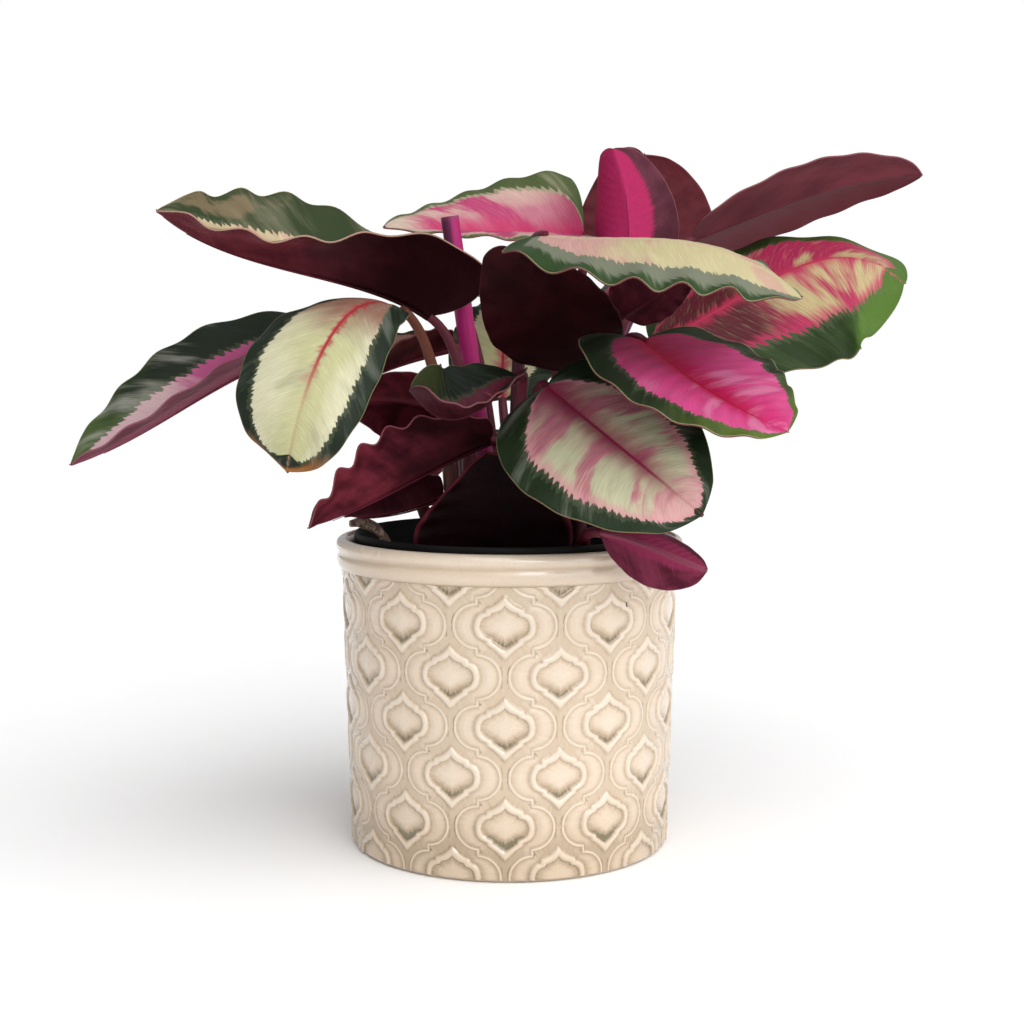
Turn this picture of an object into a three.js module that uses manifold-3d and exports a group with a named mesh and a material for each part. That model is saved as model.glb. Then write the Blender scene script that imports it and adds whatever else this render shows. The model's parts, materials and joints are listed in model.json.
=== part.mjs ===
// A prayer plant in its pot: a glazed cover pot with an ogee relief, the black nursery pot that stands
// in it, the soil, and every leaf with the stalk that it grew on.
// Millimetres, +Z up. The origin is the centre of the cover pot's flat base, and -Y is the front.
import * as THREE from 'three';
import { mergeVertices } from 'three/addons/utils/BufferGeometryUtils.js';
import Module from 'manifold-3d';

const wasm = await Module();
wasm.setup();

// Cover pot
const POT_HEIGHT = 125;
const LIP_RADIUS = 70;
const LIP_BULGE = 1.6;
const COLLAR_HEIGHT = 12.5;
const WALL = 4;
const FLOOR = 6;
const WALL_RADIUS_TOP = 67.8;
const WALL_RADIUS_BASE = 64.2;
const ROUND_STEPS = 36;

// Ogee relief on the cover pot's wall
const OGEES_AROUND = 10;
const OGEE_ROW_SPACING = 19.2;
const OGEE_FIRST_ROW = 21.3 - 2 * OGEE_ROW_SPACING;
const OGEE_ROWS = 8;
const OGEE_TURN = -91.5;
const RELIEF_FOOT = 1.5;

// Nursery pot and soil
const NURSERY_LIP_RADIUS = 63;
const NURSERY_LIP_TOP = 127;
const NURSERY_LIP_HEIGHT = 5;
const NURSERY_RADIUS_TOP = 60.8;
const NURSERY_RADIUS_BASE = 50;
const NURSERY_WALL = 1.2;
const DRAIN_HOLES = 6;
const DRAIN_HOLE_RADIUS = 5;
const DRAIN_RING_RADIUS = 32;
const SOIL_TOP = 104;
const GAP = 0.3;

// Leaves and stalks
const BLADE_THICKNESS = 0.8;
const STALK_RADIUS_ROOT = 2.9;
const STALK_RADIUS_BLADE = 1.8;
const STALK_SIDES = 5;
const STALK_STEPS = 6;
const STALK_DEPTH = 8;
const MIDRIB_END = 0.12;
const MIDRIB_RADIUS = 1;
const CUT_STEM_RADIUS = 4;
const BIG_LEAF = { rows: 11, columns: 6 };
const SMALL_LEAF = { rows: 8, columns: 4 };
const SMALL_WIDTH = 49;

// Turning three.js geometries into solids and back
function solid(geometry) {
  const shape = geometry.clone();
  shape.deleteAttribute('normal');
  shape.deleteAttribute('uv');
  const merged = mergeVertices(shape, 1e-3);
  return new wasm.Manifold(new wasm.Mesh({
    numProp: 3,
    vertProperties: new Float32Array(merged.attributes.position.array),
    triVerts: new Uint32Array(merged.index.array),
  }));
}

function geometryOf(manifold) {
  const mesh = manifold.getMesh();
  const geometry = new THREE.BufferGeometry();
  geometry.setAttribute('position', new THREE.BufferAttribute(mesh.vertProperties, 3));
  geometry.setIndex(new THREE.BufferAttribute(mesh.triVerts, 1));
  geometry.computeVertexNormals();
  return geometry;
}

function indexed(points, index) {
  const geometry = new THREE.BufferGeometry();
  const flat = points.flatMap((p) => [p.x, p.y, p.z]);
  geometry.setAttribute('position', new THREE.Float32BufferAttribute(flat, 3));
  geometry.setIndex(index);
  return geometry;
}

// A turned solid from (radius, height) pairs that start and end on the axis
function turned(profile, steps = ROUND_STEPS) {
  const points = profile.map(([r, z]) => new THREE.Vector2(r, z));
  const geometry = new THREE.LatheGeometry(points, steps);
  geometry.rotateX(Math.PI / 2);
  return solid(geometry);
}

function post(x, y, radius, bottom, top, sides) {
  const geometry = new THREE.CylinderGeometry(radius, radius, top - bottom, sides);
  geometry.rotateX(Math.PI / 2);
  geometry.rotateZ(Math.PI / 2);
  geometry.translate(x, y, (top + bottom) / 2);
  return solid(geometry);
}

// Ogee relief. One ogee is a set of rings of points, from the raised outline over the ground to the
// raised medallion, whose middle dips back to the ground. A quarter of a ring is its side point and
// two points of the double curve; the next quarter starts at the top point.
const OUTLINE_QUARTER = [[1, 0], [0.87, 0.33], [0.13, 0.67]];
const MEDALLION_QUARTER = [[1, 0], [0.84, 0.42], [0.34, 0.62]];
const OGEE_RINGS = [
  { quarter: OUTLINE_QUARTER, wide: 1, high: 1, out: 0.6 },
  { quarter: MEDALLION_QUARTER, wide: 0.56, high: 0.64, out: 0 },
  { quarter: MEDALLION_QUARTER, wide: 0.46, high: 0.52, out: 1 },
];
const RING_POINTS = 4 * OUTLINE_QUARTER.length;

function ringPoints({ quarter, wide, high }) {
  const [side, low, upper] = quarter;
  const top = [0, 1];
  const turn = [side, low, upper, top, [-upper[0], upper[1]], [-low[0], low[1]]];
  const half = turn.map(([x, y]) => [x * wide, y * high]);
  return [...half, ...half.map(([x, y]) => [-x, -y])];
}

function wallRadius(z) {
  return WALL_RADIUS_BASE + (WALL_RADIUS_TOP - WALL_RADIUS_BASE) * (z / POT_HEIGHT);
}

function onWall(angle, z, out) {
  const radius = wallRadius(z) + out;
  return new THREE.Vector3(radius * Math.cos(angle), radius * Math.sin(angle), z);
}

function reliefSolid() {
  const points = [];
  const index = [];
  const halfTurn = Math.PI / OGEES_AROUND;
  for (let row = 0; row < OGEE_ROWS; row++) {
    for (let column = 0; column < OGEES_AROUND; column++) {
      const middleAngle = THREE.MathUtils.degToRad(OGEE_TURN) + halfTurn * (2 * column + (row % 2));
      const middleHeight = OGEE_FIRST_ROW + row * OGEE_ROW_SPACING;
      const start = points.length;
      for (const ring of OGEE_RINGS) {
        for (const [x, y] of ringPoints(ring)) {
          points.push(onWall(middleAngle + x * halfTurn, middleHeight + y * OGEE_ROW_SPACING, ring.out));
        }
      }
      const dip = points.push(onWall(middleAngle, middleHeight, 0)) - 1;
      for (let ring = 0; ring < OGEE_RINGS.length; ring++) {
        for (let k = 0; k < RING_POINTS; k++) {
          const next = (k + 1) % RING_POINTS;
          const outer = start + ring * RING_POINTS;
          const inner = outer + RING_POINTS;
          if (ring === OGEE_RINGS.length - 1) {
            index.push(outer + k, outer + next, dip);
          } else {
            index.push(outer + k, outer + next, inner + next);
            index.push(outer + k, inner + next, inner + k);
          }
        }
      }
    }
  }
  const skin = mergeVertices(indexed(points, index), 1e-3);
  return solid(closedToAxis(skin));
}

// Closes an open sleeve around the Z axis: each edge of its upper and lower border goes to the axis
function closedToAxis(skin) {
  const position = skin.attributes.position;
  const index = Array.from(skin.index.array);
  const edges = new Map();
  for (let k = 0; k < index.length; k += 3) {
    for (const [a, b] of [[0, 1], [1, 2], [2, 0]]) {
      edges.set(`${index[k + a]},${index[k + b]}`, [index[k + a], index[k + b]]);
    }
  }
  const points = [];
  for (let k = 0; k < position.count; k++) points.push(new THREE.Vector3().fromBufferAttribute(position, k));
  const heights = points.map((p) => p.z);
  const low = points.push(new THREE.Vector3(0, 0, Math.min(...heights))) - 1;
  const high = points.push(new THREE.Vector3(0, 0, Math.max(...heights))) - 1;
  for (const [a, b] of edges.values()) {
    if (edges.has(`${b},${a}`)) continue;
    const end = points[a].z > POT_HEIGHT / 2 ? high : low;
    index.push(b, a, end);
  }
  return indexed(points, index);
}

// Cover pot
function coverPot() {
  const collarFoot = POT_HEIGHT - COLLAR_HEIGHT;
  const foot = wallRadius(RELIEF_FOOT) - 0.3;
  const body = turned([
    [0, 0],
    [foot - 0.8, 0],
    [foot, RELIEF_FOOT],
    [wallRadius(collarFoot) - 0.3, collarFoot - 0.5],
    [LIP_RADIUS - 0.2, collarFoot + 2.5],
    [LIP_RADIUS + LIP_BULGE * 0.5, POT_HEIGHT - 6.5],
    [LIP_RADIUS, POT_HEIGHT - 2.6],
    [LIP_RADIUS - 1.8, POT_HEIGHT],
    [0, POT_HEIGHT],
  ]);
  const band = turned([
    [0, RELIEF_FOOT],
    [LIP_RADIUS + 5, RELIEF_FOOT],
    [LIP_RADIUS + 5, collarFoot],
    [0, collarFoot],
  ]);
  const hollow = turned([
    [0, FLOOR],
    [WALL_RADIUS_BASE - WALL, FLOOR],
    [WALL_RADIUS_TOP - WALL + 0.8, POT_HEIGHT - 6],
    [LIP_RADIUS - WALL + 0.4, POT_HEIGHT + 1],
    [0, POT_HEIGHT + 1],
  ]);
  const relief = reliefSolid().intersect(band);
  return geometryOf(body.add(relief).subtract(hollow));
}

// Nursery pot: a thin tapering pot with a rolled lip and drain holes, standing on the cover pot's floor
function nurseryPot() {
  const base = FLOOR + GAP;
  const lipFoot = NURSERY_LIP_TOP - NURSERY_LIP_HEIGHT;
  const body = turned([
    [0, base],
    [NURSERY_RADIUS_BASE, base],
    [NURSERY_RADIUS_TOP, lipFoot],
    [NURSERY_LIP_RADIUS, lipFoot + 1.5],
    [NURSERY_LIP_RADIUS, NURSERY_LIP_TOP],
    [0, NURSERY_LIP_TOP],
  ]);
  const hollow = turned([
    [0, base + NURSERY_WALL],
    [NURSERY_RADIUS_BASE - NURSERY_WALL, base + NURSERY_WALL],
    [NURSERY_RADIUS_TOP - NURSERY_WALL, lipFoot],
    [NURSERY_LIP_RADIUS - 1.6, lipFoot + 1.5],
    [NURSERY_LIP_RADIUS - 1.6, NURSERY_LIP_TOP + 1],
    [0, NURSERY_LIP_TOP + 1],
  ]);
  let pot = body.subtract(hollow);
  for (let k = 0; k < DRAIN_HOLES; k++) {
    const angle = (k / DRAIN_HOLES) * 2 * Math.PI;
    const x = DRAIN_RING_RADIUS * Math.cos(angle);
    const y = DRAIN_RING_RADIUS * Math.sin(angle);
    pot = pot.subtract(post(x, y, DRAIN_HOLE_RADIUS, base - 1, base + NURSERY_WALL + 1, 8));
  }
  return geometryOf(pot);
}

function nurseryInside(z) {
  const base = FLOOR + GAP + NURSERY_WALL;
  const lipFoot = NURSERY_LIP_TOP - NURSERY_LIP_HEIGHT;
  const share = (z - base) / (lipFoot - base);
  return NURSERY_RADIUS_BASE + (NURSERY_RADIUS_TOP - NURSERY_RADIUS_BASE) * share - NURSERY_WALL;
}

// Soil: fills the nursery pot up to its top, with one plain hole for each stalk
function soil(roots) {
  const bottom = FLOOR + GAP + NURSERY_WALL + GAP;
  let ground = turned([
    [0, bottom],
    [nurseryInside(bottom) - GAP, bottom],
    [nurseryInside(SOIL_TOP) - GAP, SOIL_TOP],
    [0, SOIL_TOP],
  ]);
  for (const { x, y, radius } of roots) {
    const depth = SOIL_TOP - STALK_DEPTH - GAP;
    const hole = (radius + GAP) / Math.cos(Math.PI / STALK_SIDES);
    ground = ground.subtract(post(x, y, hole, depth, SOIL_TOP + 1, STALK_SIDES));
  }
  return geometryOf(ground);
}

// A leaf. rib: four points that the midrib runs through, from the stalk to the tip. face: where the
// upper side looks. fold and curl: how steeply each half rises from the midrib, in degrees, at the rib
// and at the margin. One number holds for the whole leaf, and three run from the base to the tip.
const PLAIN_LEAF = {
  widest: 0.42,
  full: 0.6,
  lobe: 0.08,
  fold: 18,
  curl: -10,
  waves: 5.5,
  ruffle: 1.6,
  phase: 0,
  lean: [0, 0, 1],
  rise: 0.45,
  neck: 0.22,
  wideLeft: 1,
  wideRight: 1,
  colour: '#5c2539',
};
const GREEN = '#4f6a45';
const PINK = '#b9557f';
const LEAVES = [
  {
    name: 'leaf_01_long_left',
    rib: [[-32, -8, 213], [-64, -22, 226], [-99, -40, 232], [-129, -58, 250]],
    face: [0, -0.1, 1], width: 76, widest: 0.34, full: 0.55, root: [-17, -7],
    foldLeft: [75, 32, 26], curlLeft: [60, 12, 6], foldRight: [30, 55, 62], curlRight: [20, 50, 55],
    ruffle: [0.3, 1.4, 1.8], lobeLeft: 0.26,
  },
  {
    name: 'leaf_02_drooping_left',
    rib: [[-41, -34, 215], [-60, -66, 211], [-72, -86, 184], [-79, -84, 157]],
    face: [0.1, -0.25, 1], faceTip: [-0.1, -1, 0.25], width: 54, widest: 0.54, full: 0.5, root: [-22, -16],
    fold: 0, curl: -30, ruffle: 0.8, lobe: 0.02, colour: '#c9cf9a',
  },
  {
    name: 'leaf_03_far_left',
    rib: [[-73, 2, 203], [-108, -8, 190], [-139, -18, 171], [-171, -26, 155]],
    face: [0, -0.2, 1], width: 56, root: [-24, 6],
    foldLeft: [35, 25, 15], curlLeft: [10, 5, 0], foldRight: [45, 55, 50], curlRight: [20, 30, 30],
    ruffle: 0.8, neck: 0.05, lean: [-0.25, 0, 1], colour: GREEN,
  },
  {
    name: 'leaf_04_high_back_left',
    rib: [[32, 57, 249], [5, 47, 250], [-25, 34, 250], [-52, 20, 250]],
    face: [0, -0.15, 1], width: 64, widest: 0.22, full: 0.7, root: [8, 16],
    foldLeft: [10, 5, 5], foldRight: [80, 55, 40], curlRight: [50, 20, 10],
    ruffle: 0.8, lobe: 0.03, neck: 0.06, colour: PINK,
  },
  {
    name: 'leaf_05_wavy_front',
    rib: [[13, -76, 240], [42, -92, 238], [70, -101, 234], [99, -104, 217]],
    face: [0, -0.1, 1], width: 66, full: 0.5, root: [2, -8],
    foldLeft: [5, 0, 10], curlLeft: [-20, -20, 0], foldRight: [-8, -24, -22], curlRight: [-10, -26, -26],
    waves: 6, ruffle: 2, phase: 0.2, lobe: 0.22, lean: [0, 0.05, 1], neck: 0.04, rise: 0.95,
    colour: '#c9cf9a',
  },
  {
    name: 'leaf_06_dark_centre',
    rib: [[34, -36, 202], [21, -50, 213], [11, -61, 224], [1, -68, 236]],
    face: [0.2, 0.85, 0.5], width: 58, wideLeft: 0.7, root: [10, -12], fold: -8, curl: -15, ruffle: 0.5,
  },
  {
    name: 'leaf_07_small_dark',
    rib: [[44, -13, 213], [52, -19, 218], [61, -24, 224], [70, -29, 229]],
    face: [0, 0.8, 0.6], width: 32, root: [19, -5], ruffle: 0.4, lobe: 0,
  },
  {
    name: 'leaf_08_rolled_top',
    rib: [[50, 28, 237], [50, 30, 252], [48, 30, 267], [43, 28, 283]],
    face: [0, 1, 0], width: 46, widest: 0.35, root: [14, 8],
    foldLeft: 10, curlLeft: 30, foldRight: 40, curlRight: 80, ruffle: 0.3, lean: [0.15, 0.1, 1],
    colour: PINK,
  },
  {
    name: 'leaf_09_dark_top',
    rib: [[59, 57, 233], [61, 62, 250], [61, 66, 268], [59, 66, 285]],
    face: [0, 1, 0.1], width: 58, root: [17, 17], ruffle: 0.4,
  },
  {
    name: 'leaf_10_far_right',
    rib: [[77, 28, 246], [110, 38, 259], [143, 44, 270], [176, 46, 274]],
    face: [-0.1, 0.45, 0.9], width: 58, widest: 0.38, root: [28, 8], ruffle: 0.4,
  },
  {
    name: 'leaf_11_broad_right',
    rib: [[56, -14, 203], [90, -6, 220], [125, -2, 236], [157, -6, 226]],
    face: [0, -0.4, 1], width: 84, widest: 0.6, full: 0.4, root: [26, -2],
    foldRight: [-30, -36, -36], curlRight: [-30, -40, -40], foldLeft: [5, 0, -10], curlLeft: [0, -5, -15],
    ruffle: 0.8, lobe: 0, colour: PINK,
  },
  {
    name: 'leaf_12_front_right',
    rib: [[49, -60, 203], [63, -88, 190], [78, -104, 180], [93, -114, 172]],
    face: [0.1, -0.42, 0.9], width: 68, widest: 0.38, full: 0.5, root: [26, -18],
    ruffle: 0.8, lobe: 0.2, neck: 0.3, colour: PINK,
  },
  {
    name: 'leaf_13_front_middle',
    rib: [[14, -46, 186], [31, -76, 172], [47, -99, 159], [65, -112, 144]],
    face: [0, -0.9, 0.45], width: 76, full: 0.55, root: [14, -26],
    ruffle: 0.6, wideLeft: 0.66, lobe: 0.12, lobeRight: 0, colour: '#c98fa0',
  },
  {
    name: 'leaf_14_small_front',
    rib: [[3, -50, 190], [-8, -60, 181], [-21, -66, 175], [-36, -72, 185]],
    face: [0, -0.2, 1], width: 44, widest: 0.62, full: 0.5, root: [0, -20],
    foldLeft: [25, 15, 10], curlLeft: [10, 0, 0], foldRight: [30, 55, 60], curlRight: [20, 40, 40],
    ruffle: 0.6, lobe: 0, neck: 0.12, rise: 0.85, colour: GREEN,
  },
  {
    name: 'leaf_15_folded_low_left',
    rib: [[-8, -22, 164], [-30, -38, 154], [-52, -50, 143], [-74, -62, 134]],
    face: [0, 0, 1], width: 56, widest: 0.5, root: [-10, -22],
    foldLeft: [70, 80, 70], curlLeft: [50, 55, 40], foldRight: [80, 80, 60], curlRight: [60, 60, 40],
    ruffle: 0.8,
  },
  {
    name: 'leaf_16_folded_by_rim',
    rib: [[-27, -8, 141], [-39, -16, 137], [-51, -24, 135], [-64, -30, 135]],
    face: [0, 0, 1], width: 34, root: [-26, -10],
    foldLeft: [80, 80, 60], curlLeft: [50, 50, 40], foldRight: [75, 75, 60], ruffle: 0.5,
  },
  {
    name: 'leaf_17_dark_upright',
    rib: [[-2, -33, 119], [-3, -37, 133], [-5, -40, 147], [-9, -42, 161]],
    face: [0, 1, 0.15], width: 54, widest: 0.25, full: 0.7, wideRight: 1.3, root: [0, -32],
    foldLeft: 10, ruffle: 0.6,
  },
  {
    name: 'leaf_18_over_rim',
    rib: [[34, -68, 133], [47, -74, 130], [60, -78, 125], [71, -80, 121]],
    face: [0.3, 1, 0], width: 30, widest: 0.5, root: [30, -26],
    foldLeft: 5, curlLeft: 25, foldRight: 60, curlRight: 90, ruffle: 0.3, lobe: 0.02,
  },
  {
    name: 'leaf_19_inner_left',
    rib: [[-26, 16, 201], [-38, 6, 197], [-50, -3, 192], [-63, -10, 185]],
    face: [0, -0.3, 1], width: 34, root: [-15, 10],
    foldLeft: 60, curlLeft: 50, foldRight: [60, 60, 50], ruffle: 0.5,
  },
  {
    name: 'leaf_20_inner_low_left',
    rib: [[-28, 2, 177], [-39, -7, 179], [-51, -15, 180], [-63, -22, 176]],
    face: [0.1, 0.95, 0.2], width: 34, root: [-18, 4], ruffle: 0.4,
  },
  {
    name: 'leaf_21_back_left',
    rib: [[-23, 28, 222], [-37, 54, 230], [-56, 82, 236], [-74, 108, 232]],
    face: [0, 0, 1], width: 56, root: [-4, 30], colour: PINK,
  },
  {
    name: 'leaf_22_back_middle',
    rib: [[-3, 34, 179], [-3, 50, 194], [-2, 68, 210], [0, 88, 227]],
    face: [0, -0.7, 0.7], width: 48, root: [4, 25], colour: GREEN,
  },
  {
    name: 'leaf_23_back_right',
    rib: [[40, 74, 221], [74, 98, 235], [106, 116, 237], [134, 128, 225]],
    face: [0, 0, 1], width: 50, root: [26, 24], colour: PINK,
  },
  {
    name: 'leaf_24_low_back_left',
    rib: [[-23, 30, 165], [-29, 56, 161], [-38, 86, 152], [-45, 108, 137]],
    face: [0, 0.3, 1], width: 52, root: [-20, 16], colour: GREEN,
  },
  {
    name: 'leaf_25_low_back_right',
    rib: [[16, 66, 165], [37, 88, 159], [57, 107, 150], [73, 122, 136]],
    face: [0, 0.3, 1], width: 50, root: [2, 34], colour: GREEN,
  },
  {
    name: 'leaf_26_back_inner',
    rib: [[26, 60, 188], [38, 78, 194], [50, 98, 194], [62, 116, 188]],
    face: [0, 0.2, 1], width: 46, root: [12, 32], colour: GREEN,
  },
];

const vector = (list) => new THREE.Vector3(...list);

function along(value, t) {
  if (typeof value === 'number') return value;
  const [base, middle, tip] = value;
  return base * (1 - t) * (1 - 2 * t) + middle * 4 * t * (1 - t) + tip * t * (2 * t - 1);
}

// The one cubic curve through four points at t = 0, 1/3, 2/3 and 1
function ribPoint(rib, t) {
  const a = t - 1 / 3;
  const b = t - 2 / 3;
  const c = t - 1;
  const weights = [-4.5 * a * b * c, 13.5 * t * b * c, -13.5 * t * a * c, 4.5 * t * a * b];
  const point = new THREE.Vector3();
  weights.forEach((weight, k) => point.addScaledVector(vector(rib[k]), weight));
  return point;
}

function ribDirection(rib, t) {
  const step = 1e-3;
  return ribPoint(rib, t + step).sub(ribPoint(rib, t - step)).normalize();
}

// The directions at one place on the midrib: towards the tip, up from the upper side, and to the right
function ribFrame(leaf, t) {
  const tip = ribDirection(leaf.rib, t);
  const faceBase = vector(leaf.face).normalize();
  const faceTip = vector(leaf.faceTip ?? leaf.face).normalize();
  const up = faceBase.multiplyScalar(1 - t).addScaledVector(faceTip, t).normalize();
  up.addScaledVector(tip, -up.dot(tip)).normalize();
  const right = new THREE.Vector3().crossVectors(tip, up);
  return { middle: ribPoint(leaf.rib, t), tip, up, right };
}

// The point of the leaf at t from base to tip and u from the left margin (-1) to the right one (1)
function bladePoint(leaf, t, u) {
  const side = u > 0 ? 'Right' : 'Left';
  const share = Math.abs(u);
  const { middle, tip, up, right } = ribFrame(leaf, t);
  const swell = Math.log(0.5) / Math.log(leaf.widest);
  const outline = Math.sin(Math.PI * (t * 0.955 + 0.03) ** swell) ** leaf.full;
  const halfWidth = 0.5 * leaf.width * outline * leaf[`wide${side}`];
  const atRib = THREE.MathUtils.degToRad(along(leaf[`fold${side}`] ?? leaf.fold, t));
  const atMargin = THREE.MathUtils.degToRad(along(leaf[`curl${side}`] ?? leaf.curl, t));
  const bend = Math.abs(atMargin - atRib) < 1e-3 ? 1e-3 : atMargin - atRib;
  const end = atRib + bend * share;
  const across = halfWidth * (Math.sin(end) - Math.sin(atRib)) / bend;
  const raised = halfWidth * (Math.cos(atRib) - Math.cos(end)) / bend;
  const shift = u > 0 ? 0.35 : 0;
  const wave = Math.sin(2 * Math.PI * (leaf.waves * t + leaf.phase + shift));
  const ruffle = along(leaf.ruffle, t) * share ** 3 * wave * Math.min(1, 4 * halfWidth / leaf.width);
  const lobe = leaf[`lobe${side}`] ?? leaf.lobe;
  const back = lobe * leaf.width * share ** 1.5 * Math.max(0, 1 - t / 0.4) ** 1.6;
  return middle
    .addScaledVector(tip, -back)
    .addScaledVector(right, Math.sign(u) * across)
    .addScaledVector(up, raised + ruffle);
}

// The blade: two equal sheets, half the thickness above and below the leaf's middle, and its edge
function blade(leaf) {
  const { rows, columns } = leaf.width < SMALL_WIDTH ? SMALL_LEAF : BIG_LEAF;
  const at = (i, j) => bladePoint(leaf, i / rows, (2 * j) / columns - 1);
  const points = [];
  for (const side of [1, -1]) {
    for (let i = 0; i <= rows; i++) {
      for (let j = 0; j <= columns; j++) {
        const across = at(i, Math.min(j + 1, columns)).sub(at(i, Math.max(j - 1, 0)));
        const towardsTip = at(Math.min(i + 1, rows), j).sub(at(Math.max(i - 1, 0), j));
        const normal = across.cross(towardsTip).normalize();
        points.push(at(i, j).addScaledVector(normal, side * BLADE_THICKNESS / 2));
      }
    }
  }
  const upper = (i, j) => i * (columns + 1) + j;
  const under = (i, j) => upper(i, j) + (rows + 1) * (columns + 1);
  const index = [];
  for (let i = 0; i < rows; i++) {
    for (let j = 0; j < columns; j++) {
      index.push(upper(i, j), upper(i, j + 1), upper(i + 1, j + 1));
      index.push(upper(i, j), upper(i + 1, j + 1), upper(i + 1, j));
      index.push(under(i, j), under(i + 1, j + 1), under(i, j + 1));
      index.push(under(i, j), under(i + 1, j), under(i + 1, j + 1));
    }
  }
  const border = [];
  for (let j = 0; j < columns; j++) border.push([0, j]);
  for (let i = 0; i < rows; i++) border.push([i, columns]);
  for (let j = columns; j > 0; j--) border.push([rows, j]);
  for (let i = rows; i > 0; i--) border.push([i, 0]);
  border.forEach((here, k) => {
    const next = border[(k + 1) % border.length];
    index.push(under(...here), under(...next), upper(...next));
    index.push(under(...here), upper(...next), upper(...here));
  });
  return solid(indexed(points, index));
}

// A closed tube along points, with a radius at each, turned as little as possible from ring to ring
function tube(path, radii, sides = STALK_SIDES) {
  const points = [];
  const index = [];
  let reference = new THREE.Vector3(1, 0, 0);
  path.forEach((point, k) => {
    const before = path[Math.max(k - 1, 0)];
    const after = path[Math.min(k + 1, path.length - 1)];
    const direction = after.clone().sub(before).normalize();
    reference = reference.addScaledVector(direction, -reference.dot(direction)).normalize();
    const second = new THREE.Vector3().crossVectors(direction, reference);
    for (let s = 0; s < sides; s++) {
      const angle = (s / sides) * 2 * Math.PI;
      const around = reference.clone().multiplyScalar(Math.cos(angle));
      around.addScaledVector(second, Math.sin(angle));
      points.push(point.clone().addScaledVector(around, radii[k]));
    }
  });
  for (let k = 0; k < path.length - 1; k++) {
    for (let s = 0; s < sides; s++) {
      const next = (s + 1) % sides;
      const low = k * sides;
      const high = low + sides;
      index.push(low + s, low + next, high + next);
      index.push(low + s, high + next, high + s);
    }
  }
  const last = (path.length - 1) * sides;
  for (let s = 1; s < sides - 1; s++) {
    index.push(0, s + 1, s);
    index.push(last, last + s, last + s + 1);
  }
  return solid(indexed(points, index));
}

// The stalk: straight up out of its hole in the soil, then in one curve to the blade, and on below
// the blade as the start of the midrib
function stalk(leaf) {
  const root = vector([...leaf.root, SOIL_TOP]);
  const { middle: end, tip } = ribFrame(leaf, 0);
  const length = end.distanceTo(root);
  const curve = new THREE.CubicBezierCurve3(
    root,
    root.clone().addScaledVector(vector(leaf.lean).normalize(), length * leaf.rise),
    end.clone().addScaledVector(tip, -length * leaf.neck),
    end,
  );
  const path = [root.clone().setZ(SOIL_TOP - STALK_DEPTH)];
  const radii = [STALK_RADIUS_ROOT];
  for (let k = 0; k <= STALK_STEPS; k++) {
    const share = k / STALK_STEPS;
    path.push(curve.getPoint(share));
    radii.push(STALK_RADIUS_ROOT + (STALK_RADIUS_BLADE - STALK_RADIUS_ROOT) * share);
  }
  const { middle, up } = ribFrame(leaf, MIDRIB_END);
  path.push(middle.addScaledVector(up, -MIDRIB_RADIUS / 2));
  radii.push(MIDRIB_RADIUS);
  return tube(path, radii);
}

// The stem that was cut off above the leaves, and a dried-up one that lies over the nursery pot's lip
const CUT_STEM = { root: [-3, 7], top: [-24, 0, 253] };
const DRY_STALK = { root: [-46, -6], path: [[-47, -6, 114], [-52, -7, 126], [-58, -9, 130.5], [-64, -12, 130.8]] };
const DRY_STALK_RADII = [2, 2, 2.4, 1.9, 2.5, 1.4];

function cutStem() {
  const root = vector([...CUT_STEM.root, SOIL_TOP]);
  const path = [root.clone().setZ(SOIL_TOP - STALK_DEPTH), root, vector(CUT_STEM.top)];
  return geometryOf(tube(path, [CUT_STEM_RADIUS, CUT_STEM_RADIUS, CUT_STEM_RADIUS * 0.9]));
}

function dryStalk() {
  const root = vector([...DRY_STALK.root, SOIL_TOP]);
  const path = [root.clone().setZ(SOIL_TOP - STALK_DEPTH), root, ...DRY_STALK.path.map(vector)];
  return geometryOf(tube(path, DRY_STALK_RADII));
}

// The whole plant in its pot
const plant = new THREE.Group();

function place(name, geometry, colour, roughness) {
  const mesh = new THREE.Mesh(geometry, new THREE.MeshStandardMaterial({ color: colour, roughness, metalness: 0 }));
  mesh.name = name;
  plant.add(mesh);
}

const leaves = LEAVES.map((leaf) => ({ ...PLAIN_LEAF, ...leaf }));
const roots = leaves.map(({ root: [x, y] }) => ({ x, y, radius: STALK_RADIUS_ROOT }));
roots.push({ x: CUT_STEM.root[0], y: CUT_STEM.root[1], radius: CUT_STEM_RADIUS });
roots.push({ x: DRY_STALK.root[0], y: DRY_STALK.root[1], radius: DRY_STALK_RADII[0] });

place('cover_pot', coverPot(), '#e3cdb3', 0.3);
place('nursery_pot', nurseryPot(), '#1b1a1a', 0.5);
place('soil', soil(roots), '#2b211a', 0.95);
for (const leaf of leaves) place(leaf.name, geometryOf(blade(leaf).add(stalk(leaf))), leaf.colour, 0.45);
place('cut_stem', cutStem(), '#a8396f', 0.5);
place('dry_stalk', dryStalk(), '#9a7a5e', 0.8);

export default plant;
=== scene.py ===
# %% [markdown]
# # A prayer plant in a glazed cover pot
# The real thing is a silvia calathea: wide painted leaves, maroon underneath, on thin fleshy stalks, in a
# thin black nursery pot that stands inside a round cream cover pot with a raised ogee pattern.
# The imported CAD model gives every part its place. Here each part gets its finished surface and its finish.
# Sizes are written in millimetres, as a grower or a potter would, and turned into metres at the end.

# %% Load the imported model
import json
import math

import bmesh
import bpy
import numpy as np
from mathutils import Matrix, Vector

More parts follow.
